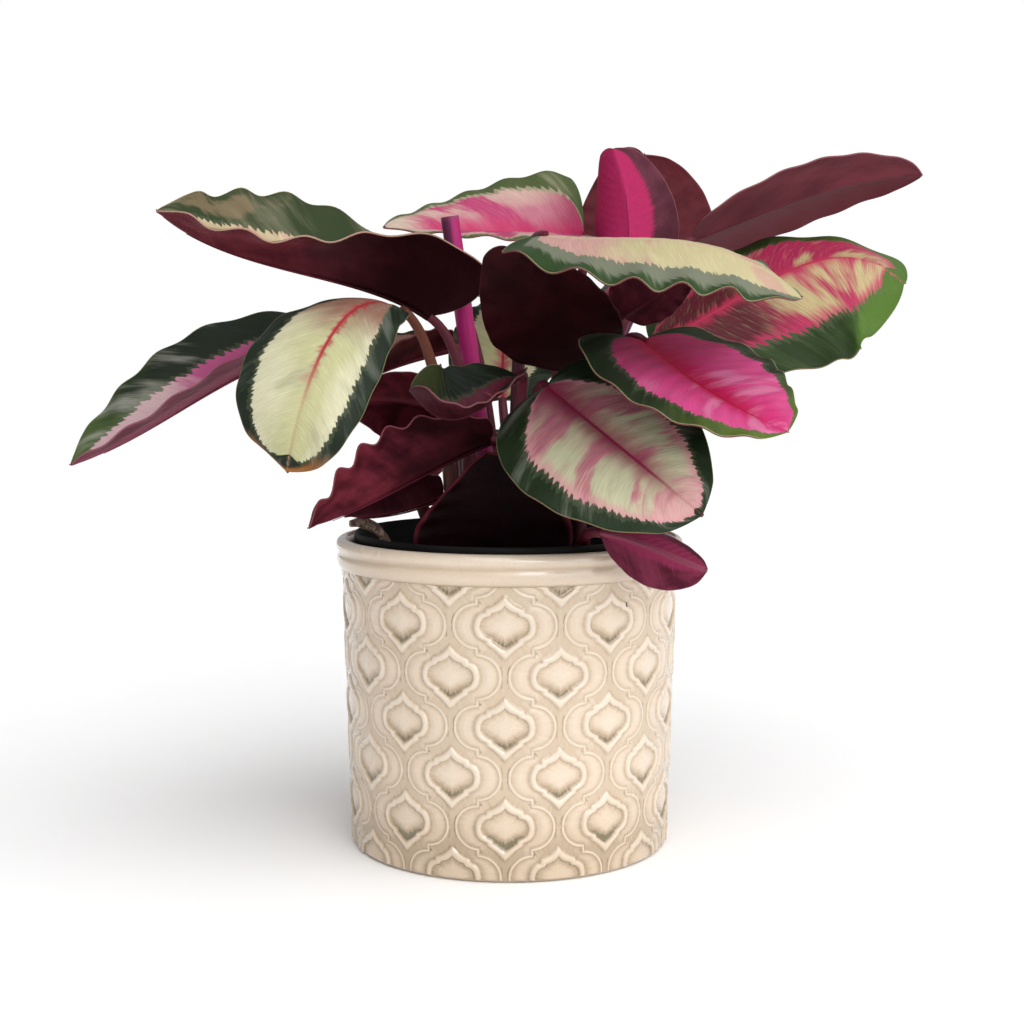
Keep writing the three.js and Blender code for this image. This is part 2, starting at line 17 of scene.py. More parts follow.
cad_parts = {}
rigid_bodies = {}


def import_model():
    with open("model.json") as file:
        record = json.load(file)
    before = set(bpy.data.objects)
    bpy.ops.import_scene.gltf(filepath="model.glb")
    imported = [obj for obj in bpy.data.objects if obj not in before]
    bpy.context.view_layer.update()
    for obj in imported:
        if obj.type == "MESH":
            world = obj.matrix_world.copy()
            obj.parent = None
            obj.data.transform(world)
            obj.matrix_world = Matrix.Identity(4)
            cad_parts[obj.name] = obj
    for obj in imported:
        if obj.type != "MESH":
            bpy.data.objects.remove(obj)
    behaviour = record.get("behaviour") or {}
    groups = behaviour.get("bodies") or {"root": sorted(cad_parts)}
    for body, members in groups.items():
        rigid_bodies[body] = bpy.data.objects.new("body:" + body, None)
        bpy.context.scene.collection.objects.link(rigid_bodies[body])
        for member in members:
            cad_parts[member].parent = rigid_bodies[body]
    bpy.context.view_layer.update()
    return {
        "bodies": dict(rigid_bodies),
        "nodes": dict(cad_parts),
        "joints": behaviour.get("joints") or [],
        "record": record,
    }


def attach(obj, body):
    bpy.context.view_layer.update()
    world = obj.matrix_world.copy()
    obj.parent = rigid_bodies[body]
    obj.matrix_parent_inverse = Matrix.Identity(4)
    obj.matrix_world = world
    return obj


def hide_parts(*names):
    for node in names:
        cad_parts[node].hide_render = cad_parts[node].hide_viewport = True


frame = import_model()
MM = 0.001
BODY = "root"
print("CAD nodes:", len(frame["nodes"]))

# %% [markdown]
# ## Colours
# Colours read off a screen are stored on a curve, and a shader wants plain light. A bright studio also
# makes a surface look lighter than its paint: something white sends back more light than the screen can
# show. One helper takes the usual 0 to 255 numbers of how a lit surface looks and gives its paint.

# %% Colours from screen values
STUDIO_LIGHT = 1.45


def tint(red, green, blue):
    """The paint of a surface that looks like this, in 0 to 255 numbers, in this studio's light."""
    channels = [c / 255 for c in (red, green, blue)]
    plain = [c / 12.92 if c < 0.04045 else ((c + 0.055) / 1.055) ** 2.4 for c in channels]
    return tuple(c / STUDIO_LIGHT for c in plain)


# %% [markdown]
# ## Writing node trees as sums
# A leaf's shape and a leaf's paint both follow formulas. Wiring dozens of Math nodes by hand hides the
# formula, so a small class wraps a node's output: adding or multiplying two of them adds the node that does
# it. The same class works for shaders and for Geometry Nodes, and every other node comes from one method,
# node. The method shape only shortens it for Geometry Nodes, where one line then tells a whole step.


# %% The tree maker and its wires
class Maker:
    """Adds nodes to one tree."""

    def __init__(self, tree):
        self.tree = tree

    def node(self, kind, settings=None, sockets=None, output=0):
        """A new node: its settings first, then a value or a wire for each socket."""
        node = self.tree.nodes.new(kind)
        for name, value in (settings or {}).items():
            setattr(node, name, value)
        for key, value in (sockets or {}).items():
            for wire in value if isinstance(value, list) else [value]:
                if isinstance(wire, Wire):
                    self.tree.links.new(wire.socket, node.inputs[key])
                elif node.inputs[key].type == "RGBA":
                    node.inputs[key].default_value = (*wire, 1)
                else:
                    node.inputs[key].default_value = wire
        return Wire(self, node.outputs[output])

    def shape(self, kind, settings=None, **sockets):
        """A node of Geometry Nodes, with its sockets by name and _ for a space."""
        named = {name.replace("_", " "): value for name, value in sockets.items()}
        return self.node("GeometryNode" + kind, settings, named)

    def maths(self, operation, *values):
        """A Math node, or a Vector Math node when one of the values is a vector."""
        vectors = any(is_vector(value) for value in values)
        if vectors:
            values = [(value,) * 3 if isinstance(value, (int, float)) else value for value in values]
        kind = "ShaderNodeVectorMath" if vectors else "ShaderNodeMath"
        output = 1 if operation in ("DOT_PRODUCT", "LENGTH", "DISTANCE") else 0
        return self.node(kind, {"operation": operation}, dict(enumerate(values)), output)


class Wire:
    """One output of a node, ready to be used in a sum."""

    def __init__(self, maker, socket):
        self.maker = maker
        self.socket = socket

    def other(self, output):
        """Another output of the same node."""
        return Wire(self.maker, self.socket.node.outputs[output])

    def __abs__(self):
        return self.maker.maths("ABSOLUTE", self)

    def __gt__(self, value):
        return self.maker.maths("GREATER_THAN", self, value)


def add_sign(sign, operation):
    """Lets a wire stand on either side of a sign such as +."""
    setattr(Wire, f"__{sign}__", lambda wire, value: wire.maker.maths(operation, wire, value))
    setattr(Wire, f"__r{sign}__", lambda wire, value: wire.maker.maths(operation, value, wire))


SIGNS = {"add": "ADD", "sub": "SUBTRACT", "mul": "MULTIPLY", "truediv": "DIVIDE", "pow": "POWER"}
for sign, operation in SIGNS.items():
    add_sign(sign, operation)


def is_vector(value):
    if isinstance(value, Wire):
        return value.socket.type == "VECTOR"
    return isinstance(value, tuple)


# %% Sums that have a name of their own
def named_sum(operation):
    """A function that sends a wire and other values through one Math node."""
    return lambda wire, *values: wire.maker.maths(operation, wire, *values)


sine, cosine, root, fraction, floor = map(named_sum, ("SINE", "COSINE", "SQRT", "FRACT", "FLOOR"))
least, most, length, distance = map(named_sum, ("MINIMUM", "MAXIMUM", "LENGTH", "DISTANCE"))
dot, cross, unit = map(named_sum, ("DOT_PRODUCT", "CROSS_PRODUCT", "NORMALIZE"))


def vector(maker, x, y, z):
    return maker.node("ShaderNodeCombineXYZ", sockets={0: x, 1: y, 2: z})


def split(wire):
    parts = wire.maker.node("ShaderNodeSeparateXYZ", sockets={0: wire})
    return parts, parts.other(1), parts.other(2)


def between(first, second, share):
    """From first to second as share goes from 0 to 1."""
    return first + (second - first) * share


def ease(wire, low, high):
    """0 below low, 1 above high, smooth between; low may be above high."""
    if low > high:
        return 1 - ease(wire, high, low)
    settings = {"interpolation_type": "SMOOTHSTEP"}
    return wire.maker.node("ShaderNodeMapRange", settings, {0: wire, 1: low, 2: high})


def blend(maker, colour, *layers):
    """A colour with others laid over it in turn, each with how far it covers."""
    for layer, cover in layers:
        sockets = {0: cover, 6: colour, 7: layer}
        colour = maker.node("ShaderNodeMix", {"data_type": "RGBA"}, sockets, output=2)
    return colour


def noise(maker, place, scale, detail=2.0, rough=0.5):
    sockets = {"Vector": place, "Scale": scale, "Detail": detail, "Roughness": rough}
    return maker.node("ShaderNodeTexNoise", sockets=sockets)


# %% [markdown]
# ## A finish
# Each finish is one Principled shader. What stays the same all over is set on the shader itself. Only the
# colour, the roughness and the fine bumps change from place to place, and they arrive as wires. In a white
# room every surface mirrors some white, which turns a dark leaf grey, so leaves get little shine.


# %% A new finish
def finish(name, build, roughness=0.5, shine=0.5, coat=0.0, bump=0.0002):
    """A material; build(maker) gives a wire for each socket that varies, and perhaps the bumps' Height."""
    material = bpy.data.materials.new(name)
    material.use_nodes = True
    maker = Maker(material.node_tree)
    shader = material.node_tree.nodes["Principled BSDF"]
    shader.inputs["Roughness"].default_value = roughness
    shader.inputs["Specular IOR Level"].default_value = shine
    shader.inputs["Coat Weight"].default_value = coat
    wires = build(maker)
    if "Height" in wires:
        sockets = {"Height": wires.pop("Height"), "Distance": bump}
        wires["Normal"] = maker.node("ShaderNodeBump", sockets=sockets)
    for socket, wire in wires.items():
        maker.tree.links.new(wire.socket, shader.inputs[socket])
    return material


def object_place(maker):
    return maker.node("ShaderNodeTexCoord", output="Object")


def mark(maker, name):
    """A number that the mesh carries on its points."""
    settings = {"attribute_name": name, "attribute_type": "GEOMETRY"}
    return maker.node("ShaderNodeAttribute", settings, output="Fac")


# %% [markdown]
# ## Running a Geometry Nodes tree
# A tree is a recipe with named sizes. It is built once, put on an object as a modifier, given its sizes,
# and evaluated. The result is copied to a plain mesh and the modifier is taken off, so that nothing is
# left to change later.


# %% Trees with named inputs
SOCKETS = {int: "NodeSocketInt", float: "NodeSocketFloat", tuple: "NodeSocketVector"}


def new_tree(name, sizes):
    """A Geometry Nodes tree with these named inputs, as its maker and a wire for each input."""
    tree = bpy.data.node_groups.new(name, "GeometryNodeTree")
    tree.interface.new_socket("Geometry", in_out="INPUT", socket_type="NodeSocketGeometry")
    for label, value in sizes.items():
        kind = SOCKETS.get(type(value), "NodeSocketMaterial")
        tree.interface.new_socket(label, in_out="INPUT", socket_type=kind)
    tree.interface.new_socket("Geometry", in_out="OUTPUT", socket_type="NodeSocketGeometry")
    maker = Maker(tree)
    start = maker.node("NodeGroupInput")
    return maker, {socket.name: start.other(k) for k, socket in enumerate(start.socket.node.outputs)}


def end_tree(maker, geometry, *finishes):
    """Ends a tree: instances made real, then each finish set, on all faces or on those of a mark."""
    result = maker.shape("RealizeInstances", Geometry=geometry)
    for material, name in finishes:
        chosen = True
        if name:
            chosen = maker.shape("InputNamedAttribute", {"data_type": "BOOLEAN"}, Name=name)
        result = maker.shape("SetMaterial", Geometry=result, Selection=chosen, Material=material)
    end = maker.tree.nodes.new("NodeGroupOutput")
    maker.tree.links.new(result.socket, end.inputs[0])
    return maker.tree


# %% From a tree to a plain mesh
def placed(name, data):
    """A new object in the scene."""
    thing = bpy.data.objects.new(name, data)
    bpy.context.scene.collection.objects.link(thing)
    return thing


def plain_mesh(source):
    """A source's shape with its modifiers worked in."""
    bpy.context.view_layer.update()
    evaluated = source.evaluated_get(bpy.context.evaluated_depsgraph_get())
    return bpy.data.meshes.new_from_object(evaluated)


def drop_empty_slots(mesh):
    """Joining geometries can leave slots without a material; the faces are counted over without them."""
    kept = [k for k, material in enumerate(mesh.materials) if material]
    materials = [mesh.materials[k] for k in kept]
    index = np.zeros(len(mesh.polygons), np.int32)
    mesh.polygons.foreach_get("material_index", index)
    place = np.zeros(max(len(mesh.materials), 1), np.int32)
    place[kept] = range(len(kept))
    mesh.materials.clear()
    for material in materials:
        mesh.materials.append(material)
    mesh.polygons.foreach_set("material_index", place[index])


def made_by(tree, name, data, sizes):
    """A plain mesh object: the tree run on this mesh or curve with these sizes."""
    source = placed(name + "_source", data)
    modifier = source.modifiers.new("recipe", "NODES")
    modifier.node_group = tree
    for item in tree.interface.items_tree:
        if item.in_out == "INPUT" and item.name in sizes:
            modifier[item.identifier] = sizes[item.name]
    mesh = plain_mesh(source)
    mesh.name = name
    drop_empty_slots(mesh)
    bpy.data.objects.remove(source)
    return placed(name, mesh)


# %% [markdown]
# ## Plain meshes, and handing a piece over
# The tile of the pot's pattern and the turned bodies are written point by point, in rings that all have the
# same number of points. Two helpers give the neighbours in a ring and the squares between two rings. A
# finished piece then says which part of the CAD model it stands for.


# %% Rings of points
def new_mesh(name, points, faces):
    mesh = bpy.data.meshes.new(name)
    mesh.from_pydata([tuple(p) for p in points], [], faces)
    mesh.update()
    return mesh


def ring_edges(ring, count):
    """The pairs of neighbours in one ring, when the points come in rings of count."""
    start = ring * count
    return [(start + k, start + (k + 1) % count) for k in range(count)]


def ring_squares(rings, count):
    """The squares between each ring of count points and the next."""
    return [(a, b, b + count, a + count) for ring in range(rings - 1) for a, b in ring_edges(ring, count)]


# %% Handing a finished piece over
def hand_over(piece, slot, *nodes):
    """Attaches a finished piece to its body and hides the CAD nodes it stands for; the slot is not used."""
    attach(piece, BODY)
    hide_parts(*nodes)
    faces = sum(len(polygon.vertices) - 2 for polygon in piece.data.polygons)
    print(f"{piece.name}: {faces} triangles for {', '.join(nodes)}")


# %% [markdown]
# ## Camera, light and floor
# The picture was taken from a little above the pot's rim with a short telephoto lens, in a white room with
# a very large soft window at the right, in front and above. The window is part of the surroundings, so
# every shadow is soft and the floor stays white. One long softbox gives the glaze its bright glints. The
# floor and the background are only a stage.

# %% The camera
CAMERA_BACK = 667 * MM
CAMERA_HEIGHT = 198 * MM
CAMERA_TILT = 5.46
LENS = 57.87
SENSOR_WIDTH = 36
AXIS_SHIFT = 0.0024

lens = bpy.data.cameras.new("camera")
lens.lens = LENS
lens.sensor_width = SENSOR_WIDTH
lens.shift_x = AXIS_SHIFT
camera = placed("camera", lens)
camera.location = (0, -CAMERA_BACK, CAMERA_HEIGHT)
camera.rotation_euler = (math.radians(90 - CAMERA_TILT), 0, 0)
bpy.context.scene.camera = camera
bpy.context.scene.view_settings.view_transform = "Standard"

# %% A softbox, and a white room with a window
SOFTBOX_PLACE = Vector((0.36, -1.15, 0.56))
SOFTBOX_AIM = Vector((0, 0, 0.1))
SOFTBOX_SIZE = (0.5, 0.1)
SOFTBOX_POWER = 2
ROOM_LIGHT = 0.44
WINDOW_LIGHT = 2.02
WINDOW = Vector((0.45, -0.62, 0.65)).normalized()
WINDOW_EDGE = (0.5, 0.88)

lamp = bpy.data.lights.new("strip_box", "AREA")
lamp.shape = "RECTANGLE"
lamp.size, lamp.size_y = SOFTBOX_SIZE
lamp.energy = SOFTBOX_POWER
softbox = placed("strip_box", lamp)
softbox.location = SOFTBOX_PLACE
softbox.rotation_euler = (SOFTBOX_AIM - SOFTBOX_PLACE).to_track_quat("-Z", "Y").to_euler()

world = bpy.data.worlds.new("white_room")
world.use_nodes = True
bpy.context.scene.world = world
room = Maker(world.node_tree)
background = world.node_tree.nodes["Background"]
background.inputs["Color"].default_value = (1, 1, 1, 1)
towards = room.node("ShaderNodeTexCoord", output="Generated")
glow = ROOM_LIGHT + WINDOW_LIGHT * ease(dot(towards, tuple(WINDOW)), *WINDOW_EDGE)
seen = room.node("ShaderNodeLightPath", output="Is Camera Ray")
room.tree.links.new(between(glow, 1.0, seen).socket, background.inputs["Strength"])

# %% The floor
HALF_FLOOR = 3.0
FLOOR_CORNERS = [(-1, -1), (1, -1), (1, 1), (-1, 1)]


def pale_floor(maker):
    grain = noise(maker, object_place(maker), 40.0)
    return {"Base Color": blend(maker, (0.95, 0.95, 0.95), ((0.97, 0.97, 0.97), grain))}


corners = [(x * HALF_FLOOR, y * HALF_FLOOR, 0) for x, y in FLOOR_CORNERS]
floor_piece = placed("floor", new_mesh("floor", corners, [(0, 1, 2, 3)]))
floor_piece.data.materials.append(finish("pale_floor", pale_floor, roughness=0.9))
print("stage ready")

# %% [markdown]
# ## The cover pot's pattern
# The potter pressed one tile over and over: a raised medallion with a hollow middle inside two thin wavy
# lines. A plain grid of squares fine enough for the thin lines would need millions of faces, so one tile
# is drawn as rings that run along its own outlines, and Geometry Nodes set it round the pot 80 times.
# Across, a tile is counted in half pitches of the pattern, and upwards in spacings of its rows.

# %% One tile of the pattern
POT_HEIGHT = 125
FLOOR = 6
WALL_RADIUS_TOP = 67.8
WALL_RADIUS_BASE = 64.2
OGEES_AROUND = 10
OGEE_ROWS = 8
OGEE_ROW_SPACING = 19.2
OGEE_FIRST_ROW = 21.3 - 2 * OGEE_ROW_SPACING
OGEE_TURN = -91.5
HALF_PITCH = 21.0

NECK = 1.7
ARC_WIDTH = 8.8
ARC_HEIGHT = 8.35
ARC_STEPS = 9

# Right half of each outline, from its top to its bottom: the first point, then runs of steps and points
MEDALLION = ((0, 11.4), [
    (9, [(1, 10.2), (2.3, 8.9), (3.8, 7.8), (5.3, 7.1), (6.9, 6.6)]),
    (3, [(7.1, 6.1), (7.4, 5.2)]),
    (11, [(8.5, 5.1), (9.5, 4.6), (10.4, 3.7), (11, 2.3), (11.4, 0.2)]),
    (11, [(11.2, -1.8), (10.5, -3.4), (9.3, -4.6), (7.4, -5.4)]),
    (3, [(6.9, -5.7), (6.7, -6.7)]),
    (9, [(4.6, -8), (2.7, -9.6), (1.2, -11.1), (0, -12.2)]),
])
PANEL = ((0, 7.5), [
    (9, [(0.8, 6.6), (1.8, 5.9), (3.2, 5.3), (4.5, 5)]),
    (3, [(4.9, 4.4), (5.3, 3.9)]),
    (11, [(6.5, 3.6), (7.8, 2.9), (8.7, 1.7), (9.1, 0)]),
    (11, [(8.9, -1.4), (8.2, -2.7), (7, -3.7), (5.2, -4.5)]),
    (3, [(4.7, -5), (4.5, -5.8)]),
    (9, [(3, -6.8), (1.5, -7.9), (0, -8.6)]),
])


def arc(middle, start, end):
    """A quarter of an ellipse round a middle, in mm, with angles in degrees."""
    angles = np.radians(np.linspace(start, end, ARC_STEPS + 1))
    return [(middle[0] + ARC_WIDTH * math.cos(a), middle[1] + ARC_HEIGHT * math.sin(a)) for a in angles]


def border_line():
    """The right thin line from the tile's top to its bottom: neck, quarter round, step, half round."""
    neck = [(x, OGEE_ROW_SPACING) for x in (0, 0.7, NECK - 0.45)]
    half = neck + arc((HALF_PITCH / 2, OGEE_ROW_SPACING), 180, 270)
    half += [(HALF_PITCH / 2, OGEE_ROW_SPACING / 2)] + arc((HALF_PITCH / 2, 0), 90, 0)
    return np.array(half + [(x, -y) for x, y in half[-2::-1]])


def threaded(first, runs):
    """A line through all the runs' points, with even steps within each run."""
    line = [np.array(first, float)]
    for steps, points in runs:
        through = np.array([line[-1], *points], float)
        lengths = np.r_[0, np.cumsum(np.linalg.norm(np.diff(through, axis=0), axis=1))]
        at = np.linspace(0, lengths[-1], steps + 1)[1:]
        line += [np.array([np.interp(a, lengths, through[:, k]) for k in (0, 1)]) for a in at]
    return np.array(line)


def whole_ring(half_line):
    """A closed ring from its right half: down on the right and up again on the left."""
    return np.r_[half_line, half_line[-2:0:-1] * (-1, 1)]


def moved_in(ring, distance):
    """The ring moved towards its inside by a distance."""
    step = np.roll(ring, -1, 0) - np.roll(ring, 1, 0)
    inward = np.stack([step[:, 1], -step[:, 0]], 1) / np.maximum(np.linalg.norm(step, axis=1), 1e-6)[:, None]
    return ring + inward * distance


# %% [markdown]
# The height of the relief is told ring by ring, from the thin line at the tile's edge to the middle of the
# medallion. The side faces between line and medallion swell like a crescent, and the ground above and below
# stays flat. Each ring also says how much glaze has run into it, because glaze that pools is darker: 0 is the
# thin glaze on a raised line, 0.5 the ground, and 1 a hollow.

# %% The tile's rings
LINE_HEIGHT = 0.5
CRESCENT_HEIGHT = 0.55
FRAME_HEIGHT = 0.85
SWELLS = {0.22: 0.75, 0.5: 1.0, 0.78: 0.6}


def tile_rings():
    """The rings from outside to inside: places in mm, heights in mm, and how much glaze has run into each."""
    outline = whole_ring(border_line())
    medal = whole_ring(threaded(*MEDALLION))
    panel = whole_ring(threaded(*PANEL))
    line = np.abs(outline[:, 0]) > NECK - 0.1
    foot = moved_in(outline, 1.0)
    groove = moved_in(medal, -0.5)
    beside = np.clip(1.25 - np.abs(outline[:, 1]) / (0.5 * OGEE_ROW_SPACING), 0, 1) ** 0.5
    low = np.clip(-panel[:, 1] / 8.6, 0, 1)
    rings = [
        (outline, LINE_HEIGHT * line, 0.5 - 0.8 * line),
        (moved_in(outline, 0.62), 0.03, 0.5 + 0.1 * line),
        (foot, 0.0, 0.5),
    ]
    for share, swell in SWELLS.items():
        swell = swell * beside
        rings.append((foot + (groove - foot) * share, swell * CRESCENT_HEIGHT, 0.5 - 0.36 * swell))
    frame = panel - medal
    return rings + [
        (groove, -0.02, 0.66),
        (medal, 0.4, 0.26),
        (medal + frame * 0.2, FRAME_HEIGHT * 0.94, 0.0),
        (medal + frame * 0.78, FRAME_HEIGHT, 0.02),
        (panel, 0.08, 0.72),
        (panel * 0.88, -0.02 - 0.2 * low, 0.5 + 0.85 * low),
        (panel * 0.68, 0.2 - 0.22 * low, 0.26 + 0.6 * low),
        (panel * 0.4, 0.42, 0.14),
    ]


def tile_mesh():
    rings = tile_rings()
    count = len(rings[0][0])
    middle = len(rings) * count
    places = [place for ring, _, _ in rings for place in ring] + [(0, 0)]
    heights = [h for _, height, _ in rings for h in np.broadcast_to(height, count)] + [0.5]
    glaze_depths = [p for _, _, glaze_pool_and_shade in rings for p in np.broadcast_to(glaze_pool_and_shade, count)] + [0.1]
    points = [(x / HALF_PITCH, y / OGEE_ROW_SPACING, h) for (x, y), h in zip(places, heights)]
    faces = [(a, d, c, b) for a, b, c, d in ring_squares(len(rings), count)]
    faces += [(a, middle, b) for a, b in ring_edges(len(rings) - 1, count)]
    mesh = new_mesh("ogee_tile", points, faces)
    glaze_pool_and_shade = mesh.attributes.new("glaze_pool_and_shade", "FLOAT", "POINT")
    glaze_pool_and_shade.data.foreach_set("value", np.array(glaze_depths, np.float32))
    spot = mesh.attributes.new("on_tile", "FLOAT2", "CORNER")
    corners = np.zeros(len(mesh.loops), np.int32)
    mesh.loops.foreach_get("vertex_index", corners)
    spot.data.foreach_set("vector", np.array(places, np.float32)[corners].ravel())
    return mesh


tile = tile_mesh()
print("one tile:", len(tile.vertices), "points")

# %% [markdown]
# ## The glaze
# A cream glaze thins to pale cream on the raised lines and pools brown and olive in the hollows, with small
# runs along the hollow's edge. It is glossy, a little uneven, and finely crazed. The colour follows the
# number that every ring of the tile carries, and towards the foot the glaze is darkened a little as
# painted shade. The runs in a hollow point to the middle of the medallion, so their noise is read by
# direction from there, and the crazing is a Voronoi pattern that barely darkens the glaze. One small chip
# under the collar shows the brown clay.

# %% The glaze's material
GLAZE_LINE = tint(251, 233, 210)
GLAZE_CREAM = tint(244, 221, 196)
GLAZE_BODY = tint(227, 203, 175)
GLAZE_GROOVE = tint(197, 172, 141)
GLAZE_DEEP = tint(130, 118, 86)
CLAY = tint(70, 44, 30)
FOOT_SHADE_HEIGHT = 42 * MM
CHIP = (44.0 * MM, -51.0 * MM, 104 * MM)
CHIP_EDGE = (1.1 * MM, 0.7 * MM)


def glaze(maker):
    place = object_place(maker)
    clouds = noise(maker, place, 30.0, 3.0)
    grain = noise(maker, place, 1100.0)
    x, y, _ = split(maker.node("ShaderNodeUVMap", {"uv_map": "on_tile"}))
    far = root(x * x + y * y) + 0.3
    runs = noise(maker, vector(maker, x / far * 9.0, y / far * 9.0, clouds * 6.0), 1.0)
    darkness = mark(maker, "glaze_pool_and_shade") * (0.62 + 0.76 * runs) + 0.16 * (grain - 0.5) + 0.2 * (clouds - 0.5)
    # Painted shade: below this height the glaze is painted darker towards the foot.
    darkness = darkness + 0.4 * ease(split(place)[2] + 30 * MM * (clouds - 0.5), FOOT_SHADE_HEIGHT, 0.0)
    cells = {"Vector": place, "Scale": 420.0}
    craze = maker.node("ShaderNodeTexVoronoi", {"feature": "DISTANCE_TO_EDGE"}, cells)
    from_chip = distance(place, CHIP) + 0.6 * MM * (grain - 0.5)
    colour = blend(
        maker, GLAZE_LINE, (GLAZE_CREAM, ease(darkness, 0.05, 0.25)), (GLAZE_BODY, ease(darkness, 0.25, 0.5)),
        (GLAZE_GROOVE, ease(darkness, 0.5, 0.85)), (GLAZE_DEEP, ease(darkness, 0.85, 1.25)),
        (GLAZE_GROOVE, ease(craze, 0.05, 0.0) * 0.12), (CLAY, ease(from_chip, *CHIP_EDGE)),
    )
    return {"Base Color": colour, "Roughness": 0.2 + 0.12 * clouds, "Height": 0.5 * clouds + 0.04 * grain}


glaze_finish = finish("cream_glaze", glaze, coat=0.8, bump=0.0003)

# %% [markdown]
# The tree lays the tiles out flat, column by column with every second row moved half a pitch, and then
# rolls the sheet round the pot's slightly tapering wall. Welding points that meet closes the seam.

# %% Tiles round the wall
WELD = 0.02 * MM

pot_sizes = {
    "Columns": OGEES_AROUND, "Rows": OGEE_ROWS, "Row spacing": OGEE_ROW_SPACING * MM,
    "First row": OGEE_FIRST_ROW * MM, "Turn": math.radians(OGEE_TURN),
    "Radius at base": WALL_RADIUS_BASE * MM, "Radius at top": WALL_RADIUS_TOP * MM, "Height": POT_HEIGHT * MM,
    "Glaze": glaze_finish,
}


def wall_tree():
    maker, size = new_tree("ogee_wall", pot_sizes)
    index = maker.shape("InputIndex")
    row = floor(index / size["Columns"] + 0.001)
    column = index - row * size["Columns"]
    odd = row - 2 * floor(row / 2 + 0.01)
    spot = vector(maker, 2 * column + odd, row, 0.0)
    points = maker.shape("Points", Count=size["Columns"] * size["Rows"], Position=spot)
    laid = maker.shape("InstanceOnPoints", Points=points, Instance=size["Geometry"])
    sheet = maker.shape("RealizeInstances", Geometry=laid)
    x, y, relief = split(maker.shape("InputPosition"))
    angle = size["Turn"] + x * math.pi / size["Columns"]
    height = size["First row"] + y * size["Row spacing"]
    wall = between(size["Radius at base"], size["Radius at top"], height / size["Height"])
    radius = wall + relief * MM
    place = vector(maker, radius * cosine(angle), radius * sine(angle), height)
    rolled = maker.shape("SetPosition", Geometry=sheet, Position=place)
    welded = maker.shape("MergeByDistance", Geometry=rolled, Distance=WELD)
    return end_tree(maker, welded, (size["Glaze"], None))


wall_piece = made_by(wall_tree(), "cover_pot_glazed", tile, pot_sizes)
print("wall of tiles:", len(wall_piece.data.polygons), "faces")

# %% [markdown]
# The sheet of tiles is cut level under the collar and above the foot. From the upper cut the clay goes on
# over the collar and the rolled lip, down the inside and across the floor, and from the lower cut under the
# foot. Both are swept from the cut's own points, so that the pot is one closed skin. Each step of a profile
# gives a radius, a height and how dark the glaze is painted there: mostly glaze that has pooled, but on the
# collar also a painted highlight on the top of the roll and painted shade under the collar's overhang.

# %% Collar, lip, inside and foot
COLLAR_CUT = 112.9
FOOT_CUT = 1.5
CUT_SLACK = 0.05
# The third number is partly painted light: low on the top of the roll, a painted highlight, and high at the
# lowest step, painted shade under the collar's overhang.
COLLAR_PROFILE = [
    (68.5, 112.9, 0.85), (68.95, 113.2, 0.6), (69.5, 114, 0.3), (69.9, 115.4, 0.22), (70, 117, 0.22),
    (69.7, 118.4, 0.35), (69.3, 119.3, 0.6), (69.7, 120.2, 0.4), (70.35, 121.4, 0.14), (70.3, 122.8, 0.1),
    (69.7, 124, 0.1), (68.8, 124.7, 0.05), (67.8, 125, 0.05), (66.9, 124.8, 0.1), (66.2, 124.2, 0.3),
    (65.6, 123.2, 0.45), (65.2, 121.5, 0.5), (64.9, 119, 0.4), (63.2, 70, 0.4),
    (60.8, 12, 0.4), (59.8, 8, 0.6), (57.5, 6.2, 0.5), (54, 6, 0.4), (12, 6, 0.4),
]
FOOT_PROFILE = [(63.9, 0.8, 0.4), (63.4, 0.25, 0.6), (62.6, 0, 0.6), (58, 0, 0.4), (12, 0, 0.4)]


def round_place(radius, angle, height):
    """A place in metres from a radius and a height in mm."""
    return (radius * MM * math.cos(angle), radius * MM * math.sin(angle), height * MM)


def swept_from_rim(bm, rim, profile, end_height, upwards):
    """Carries a closed rim of points through a profile of radius, height and how dark the glaze is painted,
    and to the axis.
    """
    glaze_pool_and_shade = bm.verts.layers.float["glaze_pool_and_shade"]
    turn = 1 if upwards else -1
    ring = rim
    for radius, height, glaze_and_shade in profile:
        following = []
        for point in rim:
            angle = math.atan2(point.co.y, point.co.x)
            following.append(bm.verts.new(round_place(radius, angle, height)))
            following[-1][glaze_pool_and_shade] = glaze_and_shade
        for k, point in enumerate(ring):
            after = (k + 1) % len(ring)
            bm.faces.new([point, ring[after], following[after], following[k]][::turn])
        ring = following
    centre = bm.verts.new((0, 0, end_height * MM))
    for a, b in ring_edges(0, len(ring)):
        bm.faces.new((ring[a], ring[b], centre) if upwards else (ring[b], ring[a], centre))


def rim_at(bm, height):
    """The points of the open border near a height, in their order along the border."""
    border = [edge for edge in bm.edges if edge.is_boundary]
    level = [e for e in border if all(abs(v.co.z - height * MM) < CUT_SLACK * MM for v in e.verts)]
    beside = {}
    for edge in level:
        for point in edge.verts:
            beside.setdefault(point, []).append(edge.other_vert(point))
    first = level[0].verts[0]
    rim = [first, min(beside[first], key=turn_from(first))]
    while len(rim) < len(beside):
        ahead = [point for point in beside[rim[-1]] if point is not rim[-2]]
        rim.append(ahead[0])
    return rim


def turn_from(first):
    """Sorts points so that the one clockwise from the first comes first."""
    return lambda point: first.co.x * point.co.y - first.co.y * point.co.x


